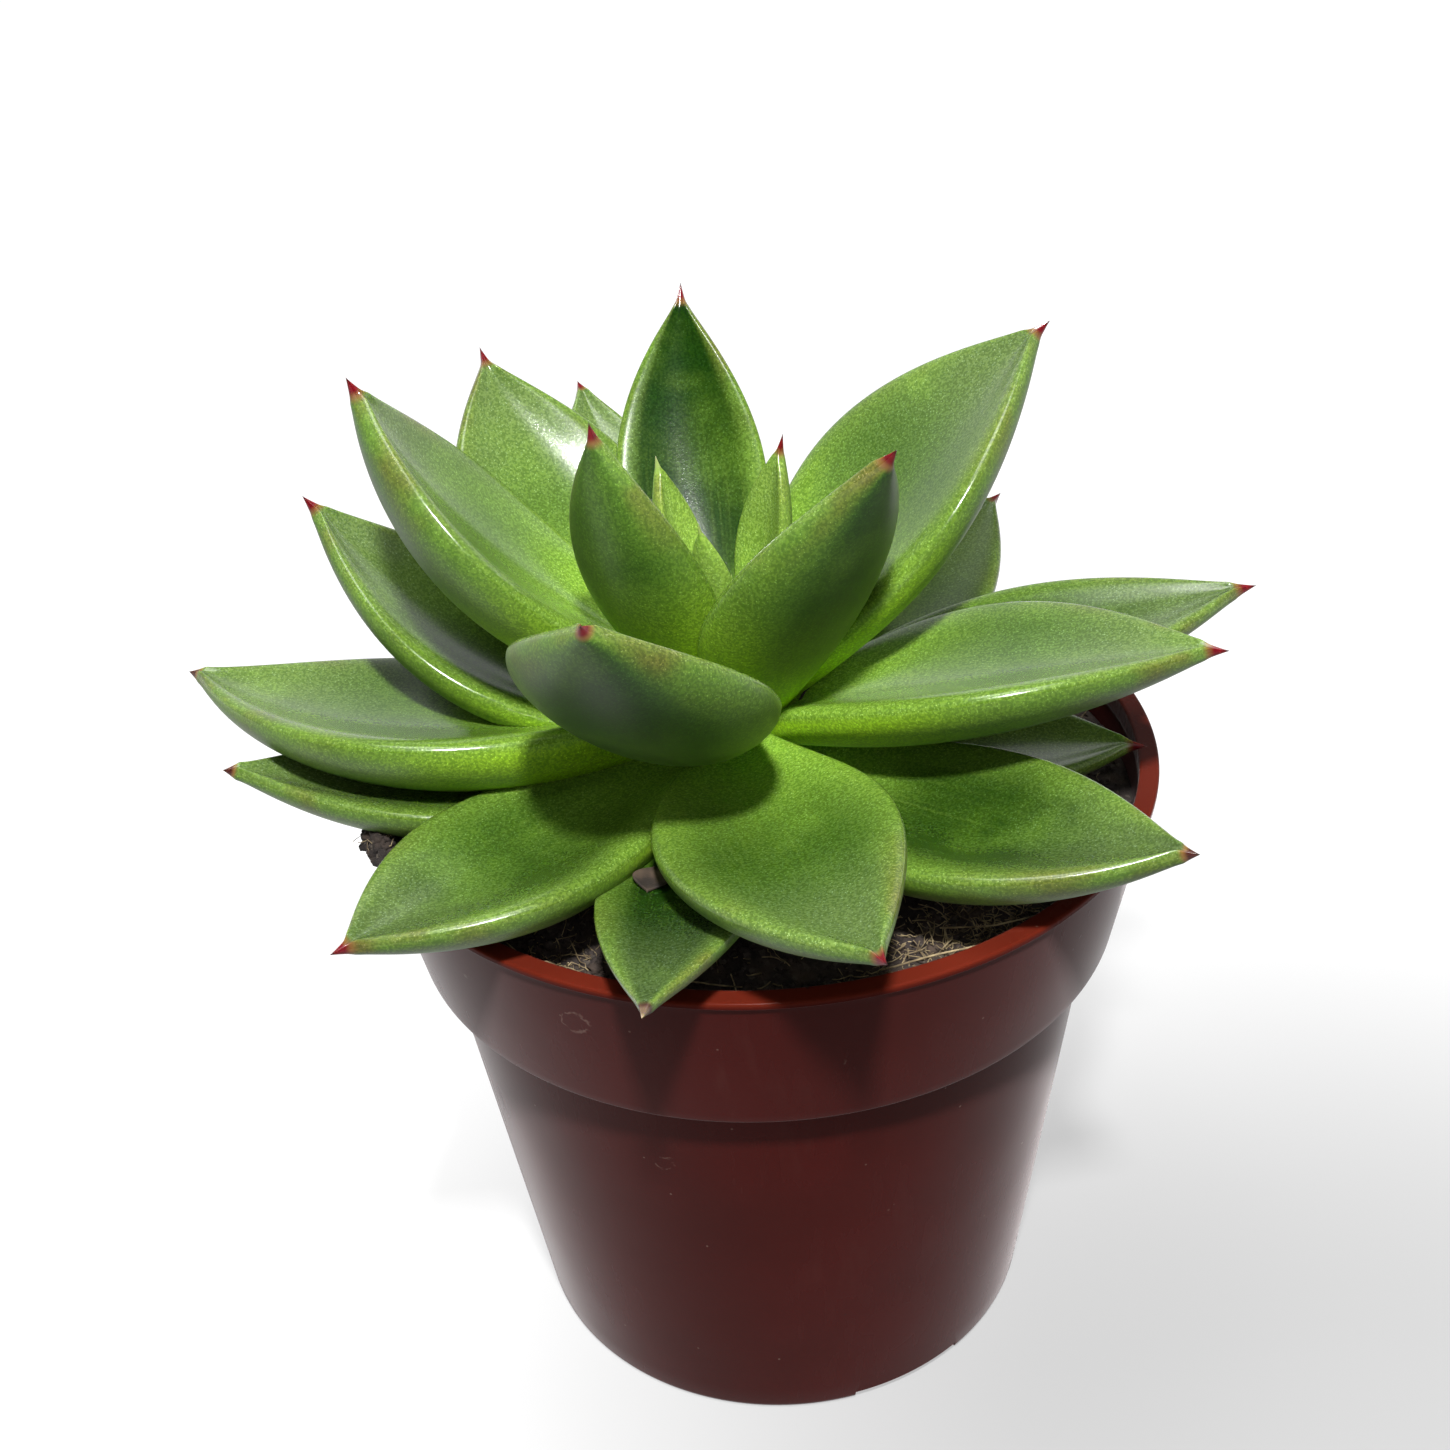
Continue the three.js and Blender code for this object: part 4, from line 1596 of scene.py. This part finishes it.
    def mesh(self, name: str, material: Material) -> Mesh:
        """Make the blade where it grows.

        Args:
            name: The leaf's name.
            material: Its skin.

        Returns:
            The blade's mesh.
        """
        t = self.stations()
        turn = math.radians(self.SPIRAL_START - self.SPIRAL_STEP * self.place + self.sway)
        spin = np.array(Matrix.Rotation(turn, 3, "Z")).T
        side, up = self.frames(t)
        points = self.midrib(t) @ spin + (STEM_X, STEM_Y, self.rise)
        layers = {"side": side @ spin, "up": up @ spin, "along": t, "deep": np.full_like(t, self.deep),
                  "to_tip": (1 - t) * self.length / self.spine, **self.sizes(t)}
        source = carrier(name, points * MM, [], layers)
        mesh = grown(source, TREES["blade"], sides=self.SIDES, margin_rise=self.MARGIN_RISE,
                     margin_roll=self.roll, section_power=self.SECTION_POWER,
                     over_power=self.UPPERSIDE_POWER, under_power=self.UNDERSIDE_POWER, material=material)
        dropped(source)
        return mesh


@dataclass
class Rosette:
    """The heart and the leaves round it, in one clockwise spiral."""

    skins: dict[Tip, Material] = field(default_factory=dict)
    heart_bottom: float = 108.3
    heart_top: float = 113.0
    heart_radius: float = 2.4

    # deep sets each leaf's painted shade, strongest on leaves that lie in shade or show no sheen.
    LEAVES = (
        Blade(-1, 18, 105, 77, 4, 29, 11.5, -6, 0, 0.49, deep=-0.5),
        Blade(0, -3, 102, 51, 34, 47, 18, -3, 9, 0.49, deep=0.5),
        Blade(1, 10, 102, 45, 24, 50, 19.5, -20, -4, 0.5, deep=1.75, roll=1.0),
        Blade(2, -11, 98, 62, -6, 53, 25.5, 7, -1, 0.47, deep=0.8),
        Blade(3, 4, 103.5, 21.5, 52, 59.5, 32.5, -4, 6, 0.55),
        Blade(4, -14, 98, 49, -8, 60, 32.5, -8, 0, 0.52, deep=0.3),
        Blade(5, -12, 100, 21, 36, 61, 30, 7, -3, 0.59, deep=0.8, spine=2.2),
        Blade(6, 14, 97.5, 18, 43, 59, 28, -19, -6, 0.53, deep=-0.05),
        Blade(7, -2, 96.5, 18, -8, 59.5, 31, 2, -7, 0.5, deep=0.25),
        Blade(8, -20, 99.5, -11.5, 28.5, 69.5, 33.5, -32, 12, 0.54, Tip.DARK, deep=0.15, spine=1.9),
        Blade(9, 2, 96, 4, 12, 50, 26),
        Blade(10, -19, 94.5, 5, 11, 63.5, 28, 19, 5, 0.49, deep=0.5, spine=2.4),
        Blade(11, 9, 94, 2, 54, 62.5, 27.5, -1, 2, 0.51),
        Blade(12, -13, 95, 8, 8, 65.5, 24, 0, 3, 0.52, deep=0.6),
        Blade(13, -14, 95.5, -12, 24, 60.5, 28.5, -2, 6, 0.58, deep=0.65),
        Blade(14, 12, 94, 18, 23, 58.5, 22, -3, 4, 0.51, spine=2.2),
        Blade(15, -7, 93, -9, 32.5, 63.5, 29, 10.5, 1, 0.51, Tip.DARK, deep=0.85, spine=2.2),
        Blade(16, 4, 91.2, -11, 34, 62.5, 24.5, -3, 5, 0.52, Tip.DARK, spine=1.8),
        Blade(17, 0, 92, 4, 16, 58, 25.5, 2, 8, 0.52),
        Blade(18, -9, 90, 4, 7, 58, 21, 0, 8, 0.52, Tip.WITHERED, deep=1.0, spine=2.4, roll=0.3),
        Blade(19, 16, 92, 0, 12, 56, 24),
        Blade(20, 4, 90, -3, 4, 50, 22.5, 3, 2, 0.53, deep=-0.3),
        Blade(22, 4, 90, 0, 8, 54, 22),
    )
    HEART_LEAVES = (
        Blade(-2, 12, 109, 58, 30, 24.5, 10, widest=0.49, tip=Tip.PALE, deep=-0.9, spine=2.4, root=0.8),
        Blade(-3, -46, 109, 72, 5, 18, 5.5, widest=0.49, tip=Tip.PALE, deep=-0.9, spine=1.8, root=0.8),
        Blade(-4, 0, 109, 76, 8, 7, 4.5, widest=0.49, tip=Tip.PALE, deep=-0.9, spine=1.0, root=0.8),
        Blade(-5, 0, 109, 78, 6, 6, 4, widest=0.49, tip=Tip.PALE, deep=-0.9, spine=1.0, root=0.8),
    )

    def heart(self) -> Thing:
        """Make the growing tip with its smallest leaves, in place of its solid.

        Returns:
            The heart's object.
        """
        skin = self.skins[Tip.PALE]
        top, radius = self.heart_top, self.heart_radius
        outline = rounded([(0.0, self.heart_bottom, 0), (radius, self.heart_bottom, 0.4),
                           (radius * 0.8, top - radius, 1.2), (radius * 0.3, top - 0.3, 0.6), (0.0, top, 0)])
        core = turned("heart_core", outline, 32, skin, centre=(STEM_X, STEM_Y))
        blades = [blade.mesh(f"heart_leaf_{i}", skin) for i, blade in enumerate(self.HEART_LEAVES)]
        return piece("heart_leaves", joined("heart_leaves", [*blades, core]), "leaf_skin", "heart")

    def build(self) -> list[Thing]:
        """Make the whole rosette in place of its solids.

        Returns:
            The heart and every leaf, from the inside out.
        """
        self.skins = {tip: LeafSkin(tip).material() for tip in Tip}
        pieces = [self.heart()]
        for number, blade in enumerate(self.LEAVES, 1):
            name = f"leaf_blade_{number:02d}"
            mesh = blade.mesh(name, self.skins[blade.tip])
            pieces.append(piece(name, mesh, "leaf_skin", f"leaf_{number:02d}"))
        return pieces


@dataclass
class Stem:
    """The short stem, ringed by the scars of dropped leaves."""

    foot: float = 72.0
    top: float = 108.0
    soil_line: float = 88.0
    foot_radius: float = 4.2
    top_radius: float = 2.6
    scar_depth: float = 0.16
    scar_spacing: float = 2.2
    scar_sharpness: int = 6
    ring_spacing: float = 0.2
    sides: int = 40

    def radius_at(self, height: float) -> float:
        """Work out the stem's radius, a little less at each scar.

        Args:
            height: Height over the table.

        Returns:
            The radius there.
        """
        taper = max(0.0, height - self.soil_line) / (self.top - self.soil_line)
        radius = self.foot_radius + (self.top_radius - self.foot_radius) * taper
        ring = abs(math.sin(math.pi * height / self.scar_spacing)) ** self.scar_sharpness
        return radius - self.scar_depth * ring

    def build(self) -> Thing:
        """Make the stem in place of its solid.

        Returns:
            The stem.
        """
        heights = np.arange(self.foot, self.top, self.ring_spacing)
        outline = [(0.0, self.foot), *((self.radius_at(z), float(z)) for z in heights), (0.0, self.top)]
        mesh = turned("stem_bark", outline, self.sides, StemSkin().material(), centre=(STEM_X, STEM_Y))
        return piece("stem_bark", mesh, "stem_skin", "stem")


@dataclass(frozen=True)
class Lamp:
    """A square soft light that faces the plant: its place, its side in metres and its power in watts."""

    name: str
    place: Triple
    size: float
    power: float
    mirrored: bool = True

    TARGET = (0.0, 0.0, 0.09)

    def hang(self) -> None:
        """Hang the light in the scene. Glossy surfaces show it only if it is mirrored."""
        light = bpy.data.lights.new(self.name, "AREA")
        light.shape, light.size, light.energy = "SQUARE", self.size, self.power
        lamp = placed(self.name, light)
        lamp.location = self.place
        lamp.visible_glossy = self.mirrored
        lamp.rotation_euler = (Vector(self.TARGET) - Vector(self.place)).to_track_quat("-Z", "Y").to_euler()


@dataclass
class Studio:
    """The pale table top, the soft lights and the camera."""

    eye: Triple = (-4.0926, -224.8783, 234.0754)
    right: Triple = (0.99801411, -0.03368717, -0.05322612)
    up: Triple = (0.06299084, 0.53373281, 0.84330389)
    ahead: Triple = (0.0, 0.84498193, -0.53479485)
    lens: float = 50.0
    sensor: float = 36.0
    nearest: float = 0.01
    farthest: float = 20.0
    floor_reach: float = 4.0
    floor_drop: float = 0.0002

    CEILING_GLOW = 0.16
    WALL_GLOW = 0.34
    BACK_WALL_GLOW = 0.35
    FRONT_LOSS = 0.94
    WALL_RISE = (0.9, 0.5)
    FRONT_RISE = (-0.05, -0.7)
    BACK_RISE = (0.3, 0.9)
    WALL_COLOUR = (0.97, 0.985, 1.0, 1.0)
    LAMPS = (
        Lamp("key", (0.01, -0.33, 0.6), 0.045, 7.1),
        Lamp("fill", (-0.01, -0.36, 0.38), 0.25, 0.4, mirrored=False),
        Lamp("overhead", (-0.02, 0.0, 0.75), 0.32, 2.6),
        Lamp("back", (-0.1, 0.16, 0.75), 0.2, 0.35),
    )

    def camera(self) -> None:
        """Stand the camera where the photograph was taken from."""
        lens = bpy.data.cameras.new("view")
        lens.lens, lens.sensor_width = self.lens, self.sensor
        lens.clip_start, lens.clip_end = self.nearest, self.farthest
        camera = placed("view", lens)
        axes = Matrix((self.right, self.up, [-a for a in self.ahead])).transposed()
        camera.matrix_world = Matrix.Translation(Vector(self.eye) * MM) @ axes.to_4x4()
        bpy.context.scene.camera = camera

    def floor(self) -> None:
        """Lay the table top, a hair under the pot's foot."""
        corners = [(x * self.floor_reach, y * self.floor_reach, -self.floor_drop)
                   for x, y in ((-1, -1), (1, -1), (1, 1), (-1, 1))]
        floor = carrier("table_top", np.array(corners), [(0, 1, 2, 3)], {})
        floor.data.materials.append(PaleFloor().material())

    def surroundings(self) -> None:
        """Light the scene from white walls at its sides and back, with a darker room in front."""
        world = bpy.data.worlds.new("studio")
        world.use_nodes = True
        sheet = NodeSheet(world.node_tree)
        world.node_tree.nodes.clear()
        _, y, z = sheet.parts(sheet.add("ShaderNodeTexCoord").outputs["Generated"])
        low = sheet.rise(z, *self.WALL_RISE)
        wall = sheet.line(low, self.WALL_GLOW, self.CEILING_GLOW)
        wall = sheet.line(sheet.times(sheet.rise(y, *self.BACK_RISE), low), self.BACK_WALL_GLOW, wall)
        front = sheet.times(sheet.rise(y, *self.FRONT_RISE), low)
        strength = sheet.times(wall, sheet.line(front, -self.FRONT_LOSS, 1.0))
        light = sheet.add("ShaderNodeBackground", {"Strength": strength, "Color": self.WALL_COLOUR})
        sheet.add("ShaderNodeOutputWorld", {"Surface": light.outputs[0]})
        bpy.context.scene.world = world

    def build(self) -> None:
        """Set the whole studio up."""
        self.camera()
        self.floor()
        self.surroundings()
        for lamp in self.LAMPS:
            lamp.hang()
        bpy.context.scene.view_settings.view_transform = "Standard"


TREES: dict[str, Tree] = {}


def main() -> None:
    """Build every piece in order."""
    logging.basicConfig(level=logging.INFO, format="%(name)s %(message)s")
    TREES.update(turned=turned_tree(), blade=blade_tree(), strand=strand_tree(), litter=litter_tree())
    Studio().build()
    pot = Pot()
    pot.build()
    bed = SoilBed(pot)
    peat = bed.build()
    Litter(bed).build(peat.data)
    Stem().build()
    Rosette().build()


if __name__ == "__main__":
    main()
